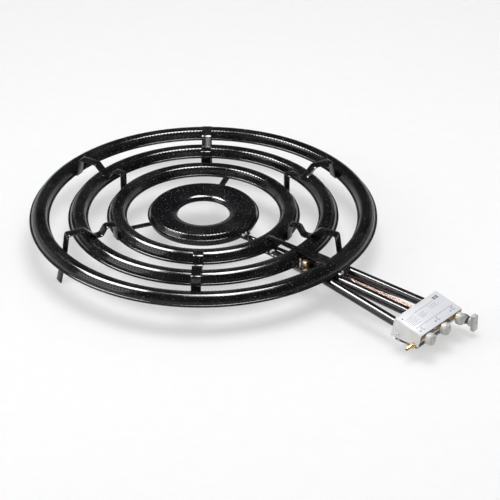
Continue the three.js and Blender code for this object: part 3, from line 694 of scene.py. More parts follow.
def ports_on(corners, bend, shoulder, spread, pitch, rows=2):
    """Rims and discs astride the shoulder of a line: two lists of rows."""
    line = rounded_line(corners, bend)
    lengths = [0.0]
    for before, here in zip(line, line[1:]):
        lengths.append(lengths[-1] + (here - before).length)
    nearest = min(range(len(line)), key=lambda index: (line[index] - Vector(shoulder)).length)
    rims, discs = [], []
    for row in range(rows):
        wanted = lengths[nearest] + spread * (row - (rows - 1) / 2)
        after = next(index for index, length in enumerate(lengths) if length > wanted)
        share = (wanted - lengths[after - 1]) / (lengths[after] - lengths[after - 1])
        place = line[after - 1].lerp(line[after], share)
        along = (line[after] - line[after - 1]).normalized()
        side = Vector((along.y, -along.x))
        tilt = math.degrees(math.atan2(side.y, side.x))
        place = place + side * SHEET / 2
        rims.append(port_row(place.x, place.y, tilt, pitch, row / 2, PORT_RIM_RADIUS, PORT_RIM_RISE))
        discs.append(port_row(place.x, place.y, tilt, pitch, row / 2, PORT_RADIUS, PORT_RISE))
    return rims, discs


# %% [markdown]
# Each ring burner is its channel with a double row of ports on the outer shoulder and another on the inner
# one, and its flat pan below. The port rims are part of the channel; the black discs of painted hole shade
# are a piece of their own.

# %% Ring burners
PORT_SPREAD = 0.0056


def ring_burner(name):
    outer = ring_radius(f"{name}_base")
    inner = outer - CHANNEL_WIDTH
    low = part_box(f"{name}_top")[0].z
    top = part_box(f"{name}_top")[1].z
    corners = channel_line(inner, outer, low, top)
    channel = turned(pressed(corners, CHANNEL_BEND), RING_FACETS)
    rims, discs = ports_on(corners, CHANNEL_BEND, corners[3], PORT_SPREAD, PORT_PITCH)
    more_rims, more_discs = ports_on(corners, CHANNEL_BEND, corners[8], PORT_SPREAD, PORT_PITCH)
    whole = join_pieces(name, [channel, *rims, *more_rims])
    whole.location = (*ring_centre, 0)
    dress(whole, f"{name}_channel", "stand", enamel, "black_enamel", f"{name}_top")
    holes = join_pieces(name, [*discs, *more_discs])
    holes.location = (*ring_centre, 0)
    dress(holes, f"{name}_ports", "stand", soot, "black_enamel")
    base_low, base_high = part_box(f"{name}_base")
    middle = (base_low.z + base_high.z) / 2
    pan = turned(pressed([(outer, middle), (inner, middle)], FLANGE), RING_FACETS, (*ring_centre, 0))
    dress(pan, f"{name}_pan", "stand", enamel, "black_enamel", f"{name}_base")


for ring_name in RINGS:
    ring_burner(ring_name)

# %% [markdown]
# The centre burner is a wide cap with a hole through it, over a pan that hangs lower. The cap has ports on
# its narrow outer band and falls in a long curve to the rim of the hole. The wall of the pan is ribbed:
# every second corner of its wall is drawn in a little after the section has been spun.

# %% Centre burner
DRUM_HOLE = 0.067
PAN_INNER = 0.092
PAN_OUTER = 0.139
PAN_LEAN = 0.0015
CAP_FALL = 0.0055
COLLAR_INSET = 0.01
DRUM_FACETS = 180
DRUM_BEND = 0.005
RIB_DEPTH = 0.001


drum_radius = ring_radius("centre_burner_base")
drum_lip = lip_height + 0.0015
drum_pan_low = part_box("centre_burner_base")[0].z


def cap_line(outer, low, rim, top):
    """The middle line of the cap, from its flange over the top to the rim of the hole."""
    flange = rim + SHEET * 1.5 + SEAT_GAP
    crown = top - SHEET / 2
    return [
        (outer - SEAT_GAP, flange),
        (outer - FLANGE + 0.0012, flange),
        (outer - 2 * FLANGE, crown - 0.0015),
        (outer - 3 * FLANGE, crown),
        (DRUM_HOLE + 2 * COLLAR_INSET, crown - CAP_FALL / 2),
        (DRUM_HOLE + COLLAR_INSET, crown - CAP_FALL),
        (DRUM_HOLE + COLLAR_INSET / 2, crown - CAP_FALL - 0.003),
        (DRUM_HOLE + SHEET, rim + SHEET),
        (DRUM_HOLE + SHEET / 2, low + SHEET / 2),
    ]


def pan_line(outer, low, rim, top):
    """The middle line of the pan, from its flange down, across and up to the cap again."""
    floor = low + SHEET / 2
    return [
        (outer, rim + SHEET / 2),
        (PAN_OUTER, rim + SHEET / 2),
        (PAN_OUTER - PAN_LEAN, floor),
        (PAN_INNER, floor),
        (PAN_INNER, top - SHEET / 2),
    ]


def centre_burner():
    outer = ring_radius("centre_burner_base")
    low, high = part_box("centre_burner_top")
    rim = drum_lip
    cap_corners = cap_line(outer, low.z, rim, high.z)
    cap = turned(pressed(cap_corners, DRUM_BEND), DRUM_FACETS)
    rims, discs = ports_on(cap_corners, DRUM_BEND, cap_corners[2], 0.004, PORT_PITCH, 1)
    more_rims, more_discs = ports_on(cap_corners, DRUM_BEND, cap_corners[6], 0.004, PORT_PITCH, 1)
    whole = join_pieces("centre_burner", [cap, *rims, *more_rims])
    whole.location = (*ring_centre, 0)
    dress(whole, "centre_burner_cap", "stand", enamel, "black_enamel", "centre_burner_top")
    holes = join_pieces("centre_burner", [*discs, *more_discs])
    holes.location = (*ring_centre, 0)
    dress(holes, "centre_burner_ports", "stand", soot, "black_enamel")
    base_low, base_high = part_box("centre_burner_base")
    corners = pan_line(outer, base_low.z, rim, base_high.z)
    pan = turned(pressed(corners, SHEET), DRUM_FACETS)
    for vertex in pan.data.vertices:
        radius = math.hypot(vertex.co.x, vertex.co.y)
        on_wall = radius > PAN_OUTER - 2 * SHEET and vertex.co.z < rim - SHEET / 2
        facet = round(math.atan2(vertex.co.y, vertex.co.x) / (2 * math.pi) * DRUM_FACETS)
        if on_wall and facet % 2:
            vertex.co.xy *= 1 - RIB_DEPTH / radius
    pan.location = (*ring_centre, 0)
    dress(pan, "centre_burner_pan", "stand", enamel, "black_enamel", "centre_burner_base")


centre_burner()

# %% [markdown]
# Pan supports, legs and carriers are flat bar, bent on a brake. A strap starts as a grid with one column for
# each corner of its route, laid on the route. Bevelling the edges across the bends rounds them, a solidify
# modifier gives the bar its thickness, and a last small bevel breaks its edges. The legs are cut level with
# the floor by a bisecting plane.

# %% Straps
STRAP_EDGE = 0.0005


def strap(route, width, thickness, bend, azimuth, level_cut=None):
    """A bent bar along (radius, height) corners, turned to an azimuth about the rings' centre."""
    start_fresh()
    bpy.ops.mesh.primitive_grid_add(x_subdivisions=len(route) - 1, y_subdivisions=1, size=1)
    bar = bpy.context.object
    columns = sorted({round(vertex.co.x, 4) for vertex in bar.data.vertices})
    for vertex in bar.data.vertices:
        radius, height = route[columns.index(round(vertex.co.x, 4))]
        vertex.co = (radius, math.copysign(width / 2, vertex.co.y), height)
    inner_corners = [Vector((radius, 0, height)) for radius, height in route[1:-1]]

    def crosses_bend(edge):
        ends = [bar.data.vertices[index].co for index in edge.vertices]
        middle = (ends[0] + ends[1]) / 2
        return any((middle - corner).length < STRAP_EDGE for corner in inner_corners)

    pick(bar, "edges", crosses_bend)
    bpy.ops.mesh.bevel(offset=bend, segments=5, affect="EDGES")
    shape(bar, "SOLIDIFY", thickness=thickness, offset=0, use_even_offset=True)
    if level_cut is not None:
        pick(bar, "polygons", lambda face: True)
        bpy.ops.mesh.bisect(plane_co=(0, 0, level_cut), plane_no=(0, 0, 1), clear_inner=True, use_fill=True)
        start_fresh()
    soften(bar, STRAP_EDGE, 2, 50)
    bar.rotation_euler.z = math.radians(azimuth)
    bar.location = (*ring_centre, 0)
    return bar


# %% [markdown]
# A pan support hooks down behind the third ring, rises to a short crest, dips on to the second ring's
# shoulder and rises to the long outer crest that carries the pan. Every second support goes on down as a
# leg that leans outwards under the outer ring.

# %% Supports and legs
STRAP_WIDTH = 0.025
STRAP_THICKNESS = 0.003
STRAP_BEND = 0.005
SUPPORT_AZIMUTHS = (12, 71, 130, 188, 249, 308.8)
LEG_SPREAD = 0.019
CREST_LEAN = 0.008
OUTER_CREST = 0.052
INNER_CREST = 0.028
INNER_CREST_DROP = 0.005
SADDLE_LENGTH = 0.016
SADDLE_REACH = 0.011
SADDLE_SINK = 0.0038

half_strap = STRAP_THICKNESS / 2
crest_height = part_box("pan_support_2")[1].z - half_strap
outer_radius = ring_radius("outer_ring_base")
second_radius = ring_radius("second_ring_base")
third_radius = ring_radius("third_ring_base")
saddle_height = ring_top - SADDLE_SINK + SEAT_GAP + half_strap
inner_crest = crest_height - INNER_CREST_DROP


def inside_seat():
    """How far out a flat strap can stand inside the round outer ring."""
    clear = outer_radius - CHANNEL_WIDTH - 3 * SEAT_GAP
    return math.sqrt(clear**2 - (STRAP_WIDTH / 2) ** 2) - half_strap


def support_route(legged):
    outer = inside_seat()
    inner = third_radius + SEAT_GAP + half_strap
    saddle = second_radius - CHANNEL_WIDTH + SADDLE_REACH
    corner = outer - CREST_LEAN
    route = [
        (inner, lip_height),
        (inner, inner_crest),
        (inner + INNER_CREST, inner_crest),
        (saddle - SADDLE_LENGTH, saddle_height),
        (saddle, saddle_height),
        (corner - OUTER_CREST, crest_height),
        (corner, crest_height),
    ]
    if legged:
        return [*route, (outer, lip_height - STRAP_THICKNESS), (outer + LEG_SPREAD * 1.02, -0.0016)]
    return [*route, (outer, lip_height)]


for number, support_azimuth in enumerate(SUPPORT_AZIMUTHS, start=1):
    legged = number % 2 == 1
    node = f"pan_support_leg_{number}" if legged else f"pan_support_{number}"
    cut = 0.0 if legged else None
    bar = strap(support_route(legged), STRAP_WIDTH, STRAP_THICKNESS, STRAP_BEND, support_azimuth, cut)
    dress(bar, f"{node}_bar", "stand", enamel, "black_enamel", node)

# %% [markdown]
# Two narrow carriers hold the centre burner under the third ring. They step up between the two, since the
# flange of the centre burner is a little higher. The tie strap lies flat on the crowns of all three rings.

# %% Carriers and tie strap
CARRIER_AZIMUTHS = (114, 240)
CARRIER_WIDTH = 0.016
TIE_NARROW = 0.014
TIE_WIDE = 0.025
TIE_OFFSET = -0.011


def carrier_route():
    under_ring = lip_height - SEAT_GAP - half_strap
    under_drum = drum_lip - SEAT_GAP - half_strap
    span = third_radius - CHANNEL_WIDTH - drum_radius
    return [
        (third_radius - CHANNEL_WIDTH / 2, under_ring),
        (third_radius - CHANNEL_WIDTH - span * 0.1, under_ring),
        (drum_radius + span * 0.1, under_drum),
        (PAN_OUTER + SEAT_GAP + SHEET, under_drum),
    ]


for number, carrier_azimuth in enumerate(CARRIER_AZIMUTHS, start=1):
    bar = strap(carrier_route(), CARRIER_WIDTH, STRAP_THICKNESS, 0.002, carrier_azimuth)
    dress(bar, f"centre_carrier_{number}_bar", "stand", enamel, "black_enamel", f"centre_carrier_{number}")


def tie_strap():
    low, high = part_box("tie_strap")
    start_fresh()
    bpy.ops.mesh.primitive_cube_add(size=1, location=(low + high) / 2)
    bar = bpy.context.object
    bar.scale = (high.x - low.x, 1, high.z - low.z)
    settle(bar)
    for vertex in bar.data.vertices:
        far = vertex.co.x > (low.x + high.x) / 2
        width = TIE_WIDE if far else TIE_NARROW
        vertex.co.y = math.copysign(width / 2, vertex.co.y) + TIE_OFFSET
    soften(bar, STRAP_EDGE, 2, 50)
    dress(bar, "tie_strap_bar", "stand", enamel, "black_enamel", "tie_strap")


tie_strap()

# %% [markdown]
# Gas and air reach each burner through its own mixing tube, a plain steel pipe. A curve with a round bevel
# makes a pipe of any route, and turning it into a mesh closes its ends. The routes start in the valve box and
# stop just past the neck under each burner.

# %% Tubes
TUBE_RADIUS = 0.012
DRUM_TUBE_RADIUS = 0.008
TUBE_MOUTH = 0.7
TAP_PITCH = 0.06
TUBE_END_REACH = 0.011
RING_TUBE_OFFSETS = (-0.026, 0.044, 0)
DRUM_TUBE_OFFSET = 0.014
DRUM_TUBE_BEND = (0.4, 0.055)
TAP_OFFSETS = (-TAP_PITCH, TAP_PITCH, 0)

tap_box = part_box("third_ring_tap_plug")
tap_height = (tap_box[0].z + tap_box[1].z) / 2
rail_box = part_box("gas_rail")
rail_height = (rail_box[0].z + rail_box[1].z) / 2
rail_x = (rail_box[0].x + rail_box[1].x) / 2
end_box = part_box("centre_burner_tap_plug")
end_offset = (end_box[0].y + end_box[1].y) / 2


def from_rings(x, y, z):
    """A place measured from the rings' centre at floor level."""
    return Vector((ring_centre[0] + x, ring_centre[1] + y, z))


def pipe(route, radius, resolution=6, curved=False):
    """A round bar along a route of places, with closed ends."""
    start_fresh()
    bpy.ops.curve.primitive_bezier_curve_add()
    line = bpy.context.object
    line.data.splines.clear()
    spline = line.data.splines.new("BEZIER")
    spline.bezier_points.add(len(route) - 1)
    for point, place in zip(spline.bezier_points, route):
        point.co = place
        point.handle_left_type = "AUTO" if curved else "VECTOR"
        point.handle_right_type = "AUTO" if curved else "VECTOR"
    line.location = (0, 0, 0)
    line.data.dimensions = "3D"
    line.data.resolution_u = 14 if curved else 1
    line.data.bevel_depth = radius
    line.data.bevel_resolution = resolution
    line.data.use_fill_caps = True
    bpy.ops.object.convert(target="MESH")
    return bpy.context.object


def neck_place(inner, outer, offset):
    """Where a tube's neck goes up into a burner."""
    middle = (inner + outer) / 2
    return Vector((math.sqrt(middle**2 - offset**2), offset))


def tube_end(neck, start, height):
    """The closed end of a tube, a little past its neck."""
    past = (neck - start).normalized() * TUBE_END_REACH
    return from_rings(*(neck + past), height)


def tube_with_collar(name, route, radius, neck, neck_radius, neck_top, curved=False):
    """A tube, and the short neck with its weld that joins it to the burner."""
    body = pipe(route, radius, 8, curved)
    start_fresh()
    bottom = route[-1].z
    bpy.ops.mesh.primitive_cylinder_add(
        vertices=32,
        radius=neck_radius,
        depth=neck_top - bottom,
        location=from_rings(*neck, (neck_top + bottom) / 2),
    )
    stub = bpy.context.object
    bpy.ops.mesh.primitive_torus_add(
        major_radius=radius - SHEET / 2,
        minor_radius=SHEET * 0.4,
        major_segments=32,
        minor_segments=8,
        location=route[-1],
        rotation=(route[-1] - route[-2]).to_track_quat("Z", "Y").to_euler(),
    )
    rim = bpy.context.object
    whole = join_pieces(name, [body, stub, rim])
    dress(whole, f"{name}_pipe", "stand", enamel, "black_enamel", name)


for ring_name, offset, tap_offset in zip(RINGS, RING_TUBE_OFFSETS, TAP_OFFSETS):
    outer = ring_radius(f"{ring_name}_base")
    neck = neck_place(outer - CHANNEL_WIDTH, outer, offset)
    height = lip_height - SEAT_GAP - TUBE_RADIUS
    end = tube_end(neck, Vector((TUBE_MOUTH, tap_offset)), height)
    mouth = from_rings(TUBE_MOUTH, tap_offset, tap_height)
    tube_with_collar(f"{ring_name}_tube", [mouth, end], TUBE_RADIUS, neck, 0.007, lip_height + SHEET)

drum_neck = neck_place(PAN_INNER, PAN_OUTER, DRUM_TUBE_OFFSET)
drum_route = [
    from_rings(TUBE_MOUTH, end_offset, rail_height),
    from_rings(*DRUM_TUBE_BEND, rail_height),
    tube_end(drum_neck, Vector(DRUM_TUBE_BEND), drum_pan_low - 2 * SEAT_GAP - DRUM_TUBE_RADIUS),
]
tube_with_collar(
    "centre_burner_tube", drum_route, DRUM_TUBE_RADIUS, drum_neck, 0.0055, drum_pan_low + SHEET,
    curved=True)

# %% [markdown]
# Folded sheet, castings and turned brass are already right in the frame, but every edge there is knife-sharp.
# A copy of the node is cleaned of its triangles, and a small bevel rounds the edges so that they catch light.

# %% Rounded copies of frame nodes
CLEAN_ANGLE = math.radians(1)


def rounded_copy(node, width, segments=2, angle=30):
    """A copy of a CAD node with its flat faces whole and its edges rounded."""
    take(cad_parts[node])
    bpy.ops.object.duplicate()
    copy = bpy.context.object
    for key in list(copy.keys()):
        del copy[key]
    copy.parent = None
    copy.matrix_world = Matrix.Identity(4)
    take(copy)
    if copy.data.has_custom_normals:
        bpy.ops.mesh.customdata_custom_splitnormals_clear()
    pick(copy, "polygons", lambda face: True)
    bpy.ops.mesh.remove_doubles(threshold=MERGE_DISTANCE)
    bpy.ops.mesh.dissolve_limited(angle_limit=CLEAN_ANGLE)
    start_fresh()
    if width:
        soften(copy, width, segments, angle)
    return copy


dress(rounded_copy("box_cover", 0.0006, 3), "folded_cover", "stand", white_paint, "white_paint", "box_cover")
dress(rounded_copy("label_plate", 0.0002), "label_sheet", "stand", label_film, "label_film", "label_plate")
dress(rounded_copy("tube_bracket", 0.0003), "tube_bracket_plate", "stand", steel, "steel", "tube_bracket")
dress(rounded_copy("gas_rail", 0.0004), "gas_rail_pipe", "stand", steel, "steel", "gas_rail")
for number in (1, 2):
    screw = rounded_copy(f"cover_screw_{number}", 0.0003)
    dress(screw, f"cover_screw_{number}_head", "stand", steel, "steel", f"cover_screw_{number}")

# %% [markdown]
# The label carries only plain marks: a dial arc and a dot by each tap, two ruled lines, and rows of short
# bars. Each mark is a thin raised shape on the sloping lid. A place on the label is measured from the lid's
# rear edge and across from its middle, so one function turns every mark on to the slope.

# %% Label marks
LID_SLOPE = math.radians(13)
MARK_HEIGHT = 0.00012
LINE_WIDTH = 0.001
BAR_WIDTH = 0.0016
DIAL_RADIUS = 0.0065
ROW_WIDTH = 0.0009
ROW_PITCH = 0.0042
# A long line: its place along the label, where it starts across, and its number of dashes.
LABEL_LINES = ((0.052, -0.07, 28), (0.013, -0.03, 16))
# A block of rows: the place of its first row, where its rows start across, and the dashes in each row.
LABEL_BLOCKS = (
    (0.017, -0.07, (8, 6, 9, 7, 9, 6, 8)),
    (0.023, -0.026, (6, 5, 7, 5)),
    (0.02, 0.018, (7, 6, 8)),
)
LABEL_BARS = (0.006, 0.011)

label_low, label_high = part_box("label_plate")
lid_turn = Matrix.Rotation(LID_SLOPE, 4, "Y")
label_rear = Vector((label_low.x, 0, label_high.z)) + lid_turn @ Vector((0, 0, MARK_HEIGHT / 2))
label_length = (label_high.x - label_low.x) / math.cos(LID_SLOPE)


def on_label(mark, along, across):
    """Moves a flat mark, made round the origin, on to the label."""
    settle(mark)
    place = label_rear + lid_turn @ Vector((along, across, 0))
    mark.matrix_world = Matrix.Translation(place) @ lid_turn
    return mark


def bar_mark(along, across, length, width=BAR_WIDTH, crosswise=True):
    """A straight mark; crosswise marks run from side to side of the box."""
    start_fresh()
    bpy.ops.mesh.primitive_cube_add(size=1)
    mark = bpy.context.object
    mark.scale = (width, length, MARK_HEIGHT) if crosswise else (length, width, MARK_HEIGHT)
    return on_label(mark, along, across)


def dot_mark(along, across, radius):
    start_fresh()
    bpy.ops.mesh.primitive_cylinder_add(vertices=24, radius=radius, depth=MARK_HEIGHT)
    return on_label(bpy.context.object, along, across)


def dial_mark(along, across, radius, sweep=260):
    """An arc of a thin ring, spun from a small square section."""
    start_fresh()
    bpy.ops.mesh.primitive_circle_add(vertices=4, radius=1, fill_type="NGON")
    mark = bpy.context.object
    corners = ((-1, -1), (1, -1), (1, 1), (-1, 1))
    for vertex, (side, level) in zip(mark.data.vertices, corners):
        vertex.co = (radius + side * LINE_WIDTH / 2, 0, level * MARK_HEIGHT / 2)
    pick(mark, "polygons", lambda face: True)
    bpy.ops.mesh.spin(steps=28, angle=math.radians(sweep), center=(0, 0, 0), axis=(0, 0, 1))
    bpy.ops.mesh.select_all(action="SELECT")
    bpy.ops.mesh.normals_make_consistent(inside=False)
    start_fresh()
    mark.rotation_euler.z = math.radians(50)
    return on_label(mark, along, across)


def dash_row(along, start, count, length, gap, width=BAR_WIDTH):
    """A row of short marks from side to side, as a line of print reads from far off."""
    places = [start + (step + 0.5) * length + step * gap for step in range(count)]
    return [bar_mark(along, place, length, width) for place in places]


marks = []
for across in (-TAP_PITCH, 0, TAP_PITCH):
    marks.append(dot_mark(label_length - 0.012, across - 0.009, 0.0022))
    marks.append(dial_mark(label_length - 0.015, across + 0.004, DIAL_RADIUS * 0.75))
    marks.append(dot_mark(label_length - 0.015, across + 0.004, 0.0009))
marks.append(dial_mark(0.048, 0.068, DIAL_RADIUS, 120))
marks.append(dot_mark(0.009, -0.071, 0.0022))
for along, start, count in LABEL_LINES:
    marks.extend(dash_row(along, start, count, 0.0035, 0.0013, LINE_WIDTH))
for first, start, counts in LABEL_BLOCKS:
    for row, count in enumerate(counts):
        marks.extend(dash_row(first + row * ROW_PITCH, start, count, 0.0026, 0.0014, ROW_WIDTH))
for along in LABEL_BARS:
    marks.extend(dash_row(along, 0.05, 2, 0.0085, 0.0015, 0.0035))
print_marks = join_pieces("label_marks", marks)
dress(print_marks, "label_marks", "stand", ink, "label_film")

# %% [markdown]
# The taps stand behind the knobs: a brass housing, a hexagon bonnet and a steel spindle with a flat. Most of
# them hides under the lid, so rounded copies of the frame's nodes are enough. The low tap's long dark sleeve
# shows, so it is turned anew with a step and a groove. Each moving piece rides on its own body.

# %% Taps
BURNERS = (*RINGS, "centre_burner")
SLEEVE_FACETS = 64


def side_turned(section, facets, start, height, offset):
    """A turned piece laid on its side, with its axis along +X from a start."""
    piece = turned(section, facets)
    piece.rotation_euler.y = math.pi / 2
    piece.location = (start, offset, height)
    return piece


for burner in BURNERS:
    tap = rounded_copy(f"{burner}_tap", 0.0005)
    dress(tap, f"{burner}_tap_body", "stand", brass, "brass", f"{burner}_tap")
    dress(rounded_copy(f"{burner}_injector", 0.0003), f"{burner}_jet", "stand", brass, "brass",
          f"{burner}_injector")
    plug = rounded_copy(f"{burner}_tap_plug", 0.0002)
    dress(plug, f"{burner}_plug_cone", f"{burner}_plug", brass, "brass", f"{burner}_tap_plug")
    spindle = rounded_copy(f"{burner}_spindle", 0.0003)
    dress(spindle, f"{burner}_spindle_bar", f"{burner}_control", steel, "steel", f"{burner}_spindle")

for ring_name in RINGS:
    bonnet = rounded_copy(f"{ring_name}_tap_bonnet", 0.0006, 3)
    dress(bonnet, f"{ring_name}_bonnet", "stand", brass, "brass", f"{ring_name}_tap_bonnet")

sleeve_low, sleeve_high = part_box("centre_burner_tap_bonnet")
sleeve_length = sleeve_high.x - sleeve_low.x
sleeve_radius = (sleeve_high.z - sleeve_low.z) / 2
SLEEVE_BORE = 0.0036
SLEEVE_STEP = 0.0014
sleeve_section = [
    (SLEEVE_BORE, 0),
    (sleeve_radius - 0.0005, 0),
    (sleeve_radius, 0.0005),
    (sleeve_radius, 0.006),
    (sleeve_radius - 0.0006, 0.0066),
    (sleeve_radius - 0.0006, 0.0076),
    (sleeve_radius, 0.0082),
    (sleeve_radius, sleeve_length * 0.62),
    (sleeve_radius - SLEEVE_STEP, sleeve_length * 0.68),
    (sleeve_radius - SLEEVE_STEP, sleeve_length - 0.0008),
    (sleeve_radius - SLEEVE_STEP - 0.0008, sleeve_length),
    (SLEEVE_BORE, sleeve_length),
]
sleeve = side_turned(sleeve_section, SLEEVE_FACETS, sleeve_low.x, rail_height, end_offset)
dress(sleeve, "centre_burner_sleeve", "stand", dark_plastic, "dark_plastic", "centre_burner_tap_bonnet")

# %% [markdown]
# A ring knob is a short round button with a rounded front rim, a raised bar to grip and a small dark pointer
# dot. The low tap's knob is a tall rounded block on a round foot. Both start from primitives, are shaped by
# bevels, and keep a clear gap to what stands behind them, so that they can be pushed in before they turn.

# %% Knobs
DOT_RADIUS = 0.0018
DOT_HEIGHT = 0.0005
KNOB_SIDES = 64


def round_block(depth, radius, bevel, start, height, offset, sides=KNOB_SIDES):
    """A round button with its axis along X and soft rims."""
    start_fresh()
    bpy.ops.mesh.primitive_cylinder_add(
        vertices=sides,
        radius=radius,
        depth=depth,
        location=(start + depth / 2, offset, height),
        rotation=(0, math.pi / 2, 0),
    )
    button = settle(bpy.context.object)
    soften(button, bevel, 4, 60)
    return button


def grip_bar(depth, width, length, bevel, start, height, offset):
    """An upright bar with every edge rounded, to be held between finger and thumb."""
    start_fresh()
    bpy.ops.mesh.primitive_cube_add(size=1, location=(start + depth / 2, offset, height))
    bar = bpy.context.object
    bar.scale = (depth, width, length)
    settle(bar)
    soften(bar, bevel, 5, 60)
    return bar


def pointer_dot(name, body, front, height, offset):
    dot = round_block(DOT_HEIGHT, DOT_RADIUS, 0.0001, front - DOT_HEIGHT, height, offset, 24)
    dress(dot, name, body, dark_plastic, "dark_plastic")


def ring_knob(burner):
    low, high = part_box(f"{burner}_knob")
    offset = (low.y + high.y) / 2
    height = (low.z + high.z) / 2
    radius = (high.z - low.z) / 2
    depth = high.x - low.x
    skirt = round_block(depth * 0.72, radius, 0.0022, low.x, height, offset)
    rim = round_block(depth * 0.2, radius * 0.93, 0.0008, low.x + depth * 0.6, height, offset)
    bar = grip_bar(depth * 0.6, radius * 0.62, radius * 1.72, 0.0026, low.x + depth * 0.38, height, offset)
    knob = join_pieces(burner, [skirt, rim, bar])
    body = f"{burner}_control"
    dress(knob, f"{burner}_knob_moulding", body, grey_plastic, "grey_plastic", f"{burner}_knob")
    pointer_dot(f"{burner}_pointer", body, high.x, height + radius * 0.5, offset)


def end_knob(burner):
    low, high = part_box(f"{burner}_knob")
    offset = (low.y + high.y) / 2
    height = (low.z + high.z) / 2
    depth = high.x - low.x
    length = high.z - low.z
    foot = round_block(depth * 0.45, (high.y - low.y) / 2, 0.0015, low.x, height, offset)
    bar = grip_bar(depth * 0.66, 0.018, length, 0.003, low.x + depth * 0.32, height, offset)
    knob = join_pieces(burner, [foot, bar])
    body = f"{burner}_control"
    dress(knob, f"{burner}_knob_moulding", body, grey_plastic, "grey_plastic", f"{burner}_knob")
    pointer_dot(f"{burner}_pointer", body, high.x, height + length * 0.05, offset)


for ring_name in RINGS:
    ring_knob(ring_name)
end_knob("centre_burner")

# %% [markdown]
# The hose pushes over a barbed brass nipple. Its section has three saw-tooth ridges, and a hexagon for the
# spanner sits against the box wall. The bore stays open, as it is in the frame.

# %% Hose nipple
nipple_low, nipple_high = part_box("hose_nipple")
NIPPLE_BORE = 0.003
NIPPLE_HEX = 0.008
NIPPLE_HEX_LENGTH = 0.006
NIPPLE_BARB = 0.005
NIPPLE_VALLEY = 0.0039
BARB_COUNT = 3
nipple_length = nipple_high.y - nipple_low.y
wall_face = -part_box("box_cover")[0].y - SEAT_GAP
hex_start = wall_face + 2 * SEAT_GAP + nipple_high.y
barb_start = hex_start + NIPPLE_HEX_LENGTH
barb_pitch = (nipple_length - barb_start) / BARB_COUNT

nipple_section = [(NIPPLE_BORE, 0), (NIPPLE_BARB, 0), (NIPPLE_BARB, barb_start)]
for barb in range(BARB_COUNT):
    begin = barb_start + barb * barb_pitch
    nipple_section += [
        (NIPPLE_VALLEY, begin + 0.0001),
        (NIPPLE_VALLEY, begin + barb_pitch * 0.25),
        (NIPPLE_BARB - 0.0002, begin + barb_pitch * 0.36),
        (NIPPLE_BARB, begin + barb_pitch * 0.42),
    ]
nipple_section += [(NIPPLE_VALLEY, nipple_length), (NIPPLE_BORE, nipple_length)]
stem = turned(nipple_section, 48)
start_fresh()
bpy.ops.mesh.primitive_cylinder_add(
    vertices=6,
    radius=NIPPLE_HEX,
    depth=NIPPLE_HEX_LENGTH,
    location=(0, 0, hex_start + NIPPLE_HEX_LENGTH / 2),
)
hexagon = settle(bpy.context.object)
soften(hexagon, 0.0006, 3)
nipple = join_pieces("nipple", [stem, hexagon])
nipple.rotation_euler.x = math.pi / 2
nipple.location = (rail_x, nipple_high.y, rail_height)
dress(nipple, "barbed_nipple", "stand", brass, "brass", "hose_nipple")

# %% [markdown]
# Every burner has a thermocouple that shuts its tap if the flame goes out. A brass nut stands beside the
# ports on a small steel tab, with a dark steel tip next to it. A copper lead as thin as a pencil lead runs
# from each to the taps; two of them cross under the middle tube and follow it.

# %% Thermocouples and leads
PROBE_STANDOFF = 0.006
PROBE_TIP = 0.0022
TAB = 0.0015
LEAD_RADIUS = 0.0015
LEAD_FIRST = 0.019
LEAD_PITCH = 0.0042
LEAD_DROP = 0.0015
LEAD_UNDER = -0.0065
LEAD_UNDER_PITCH = 0.007
LEAD_FALL = 0.002
LEAD_TURN = 0.41
LEAD_BEND = 0.01
SLEEVE_WALL = 0.0003

# Burner, its radius and lip, nut radius, height and drop, then offsets of the nut, the tip and the lead, tip
# height, lane of the lead, and whether the lead goes under the middle tube.
PROBES = (
    ("outer_ring", outer_radius, lip_height, 0.005, 0.005, 0.0, -0.002, 0.008, 0.0274, 0.007, 2, False),
    ("second_ring", second_radius, lip_height, 0.0092, 0.013, 0.012, -0.0223, -0.037, 0.015, 0.024, 3, False),
    ("third_ring", third_radius, lip_height, 0.005, 0.005, 0.0, -0.023, -0.033, -0.02, 0.007, 0, True),
    ("centre_burner", drum_radius, drum_lip, 0.005, 0.005, 0.0, -0.016, -0.006, 0.002, 0.007, 1, True),
)


def probe_part(sides, size, x, offset, bottom, top):
    start_fresh()
    middle = from_rings(x, offset, (bottom + top) / 2)
    bpy.ops.mesh.primitive_cylinder_add(vertices=sides, radius=size, depth=top - bottom, location=middle)
    part = settle(bpy.context.object)
    soften(part, min(0.0006, size / 4), 2, 30)
    return part


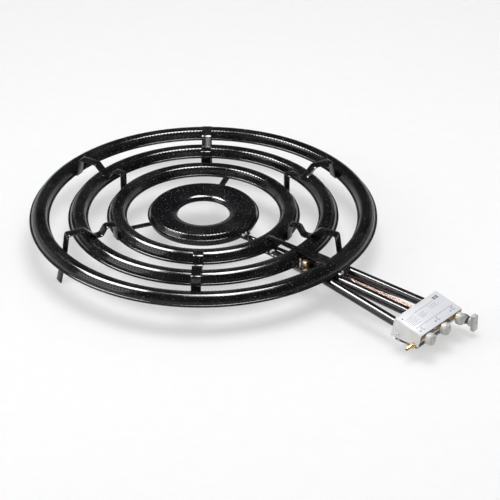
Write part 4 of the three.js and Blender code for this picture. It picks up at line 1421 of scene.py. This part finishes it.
def probe(burner, radius, base, nut_radius, nut_height, nut_drop, nut_offset, tip_offset, tip_height):
    x = radius + PROBE_STANDOFF
    nut_x = radius + nut_radius + 2 * SEAT_GAP
    tab_top = base - SEAT_GAP
    low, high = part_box(f"{burner}_probe")
    start_fresh()
    middle = ((low.x + high.x) / 2, (low.y + high.y) / 2, tab_top - TAB / 2)
    bpy.ops.mesh.primitive_cube_add(size=1, location=middle)
    tab = bpy.context.object
    tab.scale = (high.x - low.x, high.y - low.y, TAB)
    settle(tab)
    soften(tab, TAB / 4, 2)
    tip = probe_part(32, PROBE_TIP, x, tip_offset, tab_top - TAB, base + tip_height)
    collar = probe_part(32, PROBE_TIP * 1.4, x, tip_offset, tab_top, base + tip_height * 0.45)
    dress(tab, f"{burner}_probe_tab", "stand", enamel, "black_enamel")
    holder = join_pieces(burner, [tip, collar])
    dress(holder, f"{burner}_thermocouple", "stand", steel, "steel", f"{burner}_probe")
    nut = probe_part(6, nut_radius * 0.98, nut_x, nut_offset, tab_top - nut_drop, tab_top + nut_height)
    metal, slot = (brass, "brass") if nut_drop else (steel, "steel")
    dress(nut, f"{burner}_probe_nut", "stand", metal, slot)


def lead(burner, radius, base, lead_offset, lane, under_tube):
    x = radius + PROBE_STANDOFF
    top = base - 2 * SEAT_GAP - TAB
    high = tap_height - LEAD_DROP
    lane_offset = LEAD_FIRST + lane * LEAD_PITCH
    route = [(x, lead_offset, top), (x, lead_offset, top - LEAD_BEND / 2)]
    if under_tube:
        under = LEAD_UNDER + lane * LEAD_UNDER_PITCH
        low = tap_height - TUBE_RADIUS
        route += [
            (x + LEAD_BEND / 2, lead_offset, low + LEAD_BEND / 2),
            (x + 3 * LEAD_BEND, under, low),
            (x + 6 * LEAD_BEND, under, low),
            (LEAD_TURN, under, low - LEAD_FALL),
            (LEAD_TURN + 5 * LEAD_BEND, lane_offset, high),
            (LEAD_TURN + 7 * LEAD_BEND, lane_offset, high),
        ]
    else:
        route += [(x + 2 * LEAD_BEND, lane_offset, high), (x + 4 * LEAD_BEND, lane_offset, high)]
    end_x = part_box(f"{burner}_lead")[1].x
    route = [from_rings(*place) for place in route] + [Vector((end_x, lane_offset, high))]
    wire = pipe(route, LEAD_RADIUS, 3, curved=True)
    dress(wire, f"{burner}_copper_lead", "stand", copper, "copper", f"{burner}_lead")
    if under_tube:
        sleeve = pipe(route[:6], LEAD_RADIUS + SLEEVE_WALL, 3, curved=True)
        dress(sleeve, f"{burner}_heat_sleeve", "stand", dark_plastic, "dark_plastic")


for burner, radius, base, *sizes in PROBES:
    *nut_sizes, nut_offset, tip_offset, lead_offset, tip_height, lane, under_tube = sizes
    probe(burner, radius, base, *nut_sizes, nut_offset, tip_offset, tip_height)
    lead(burner, radius, base, lead_offset, lane, under_tube)
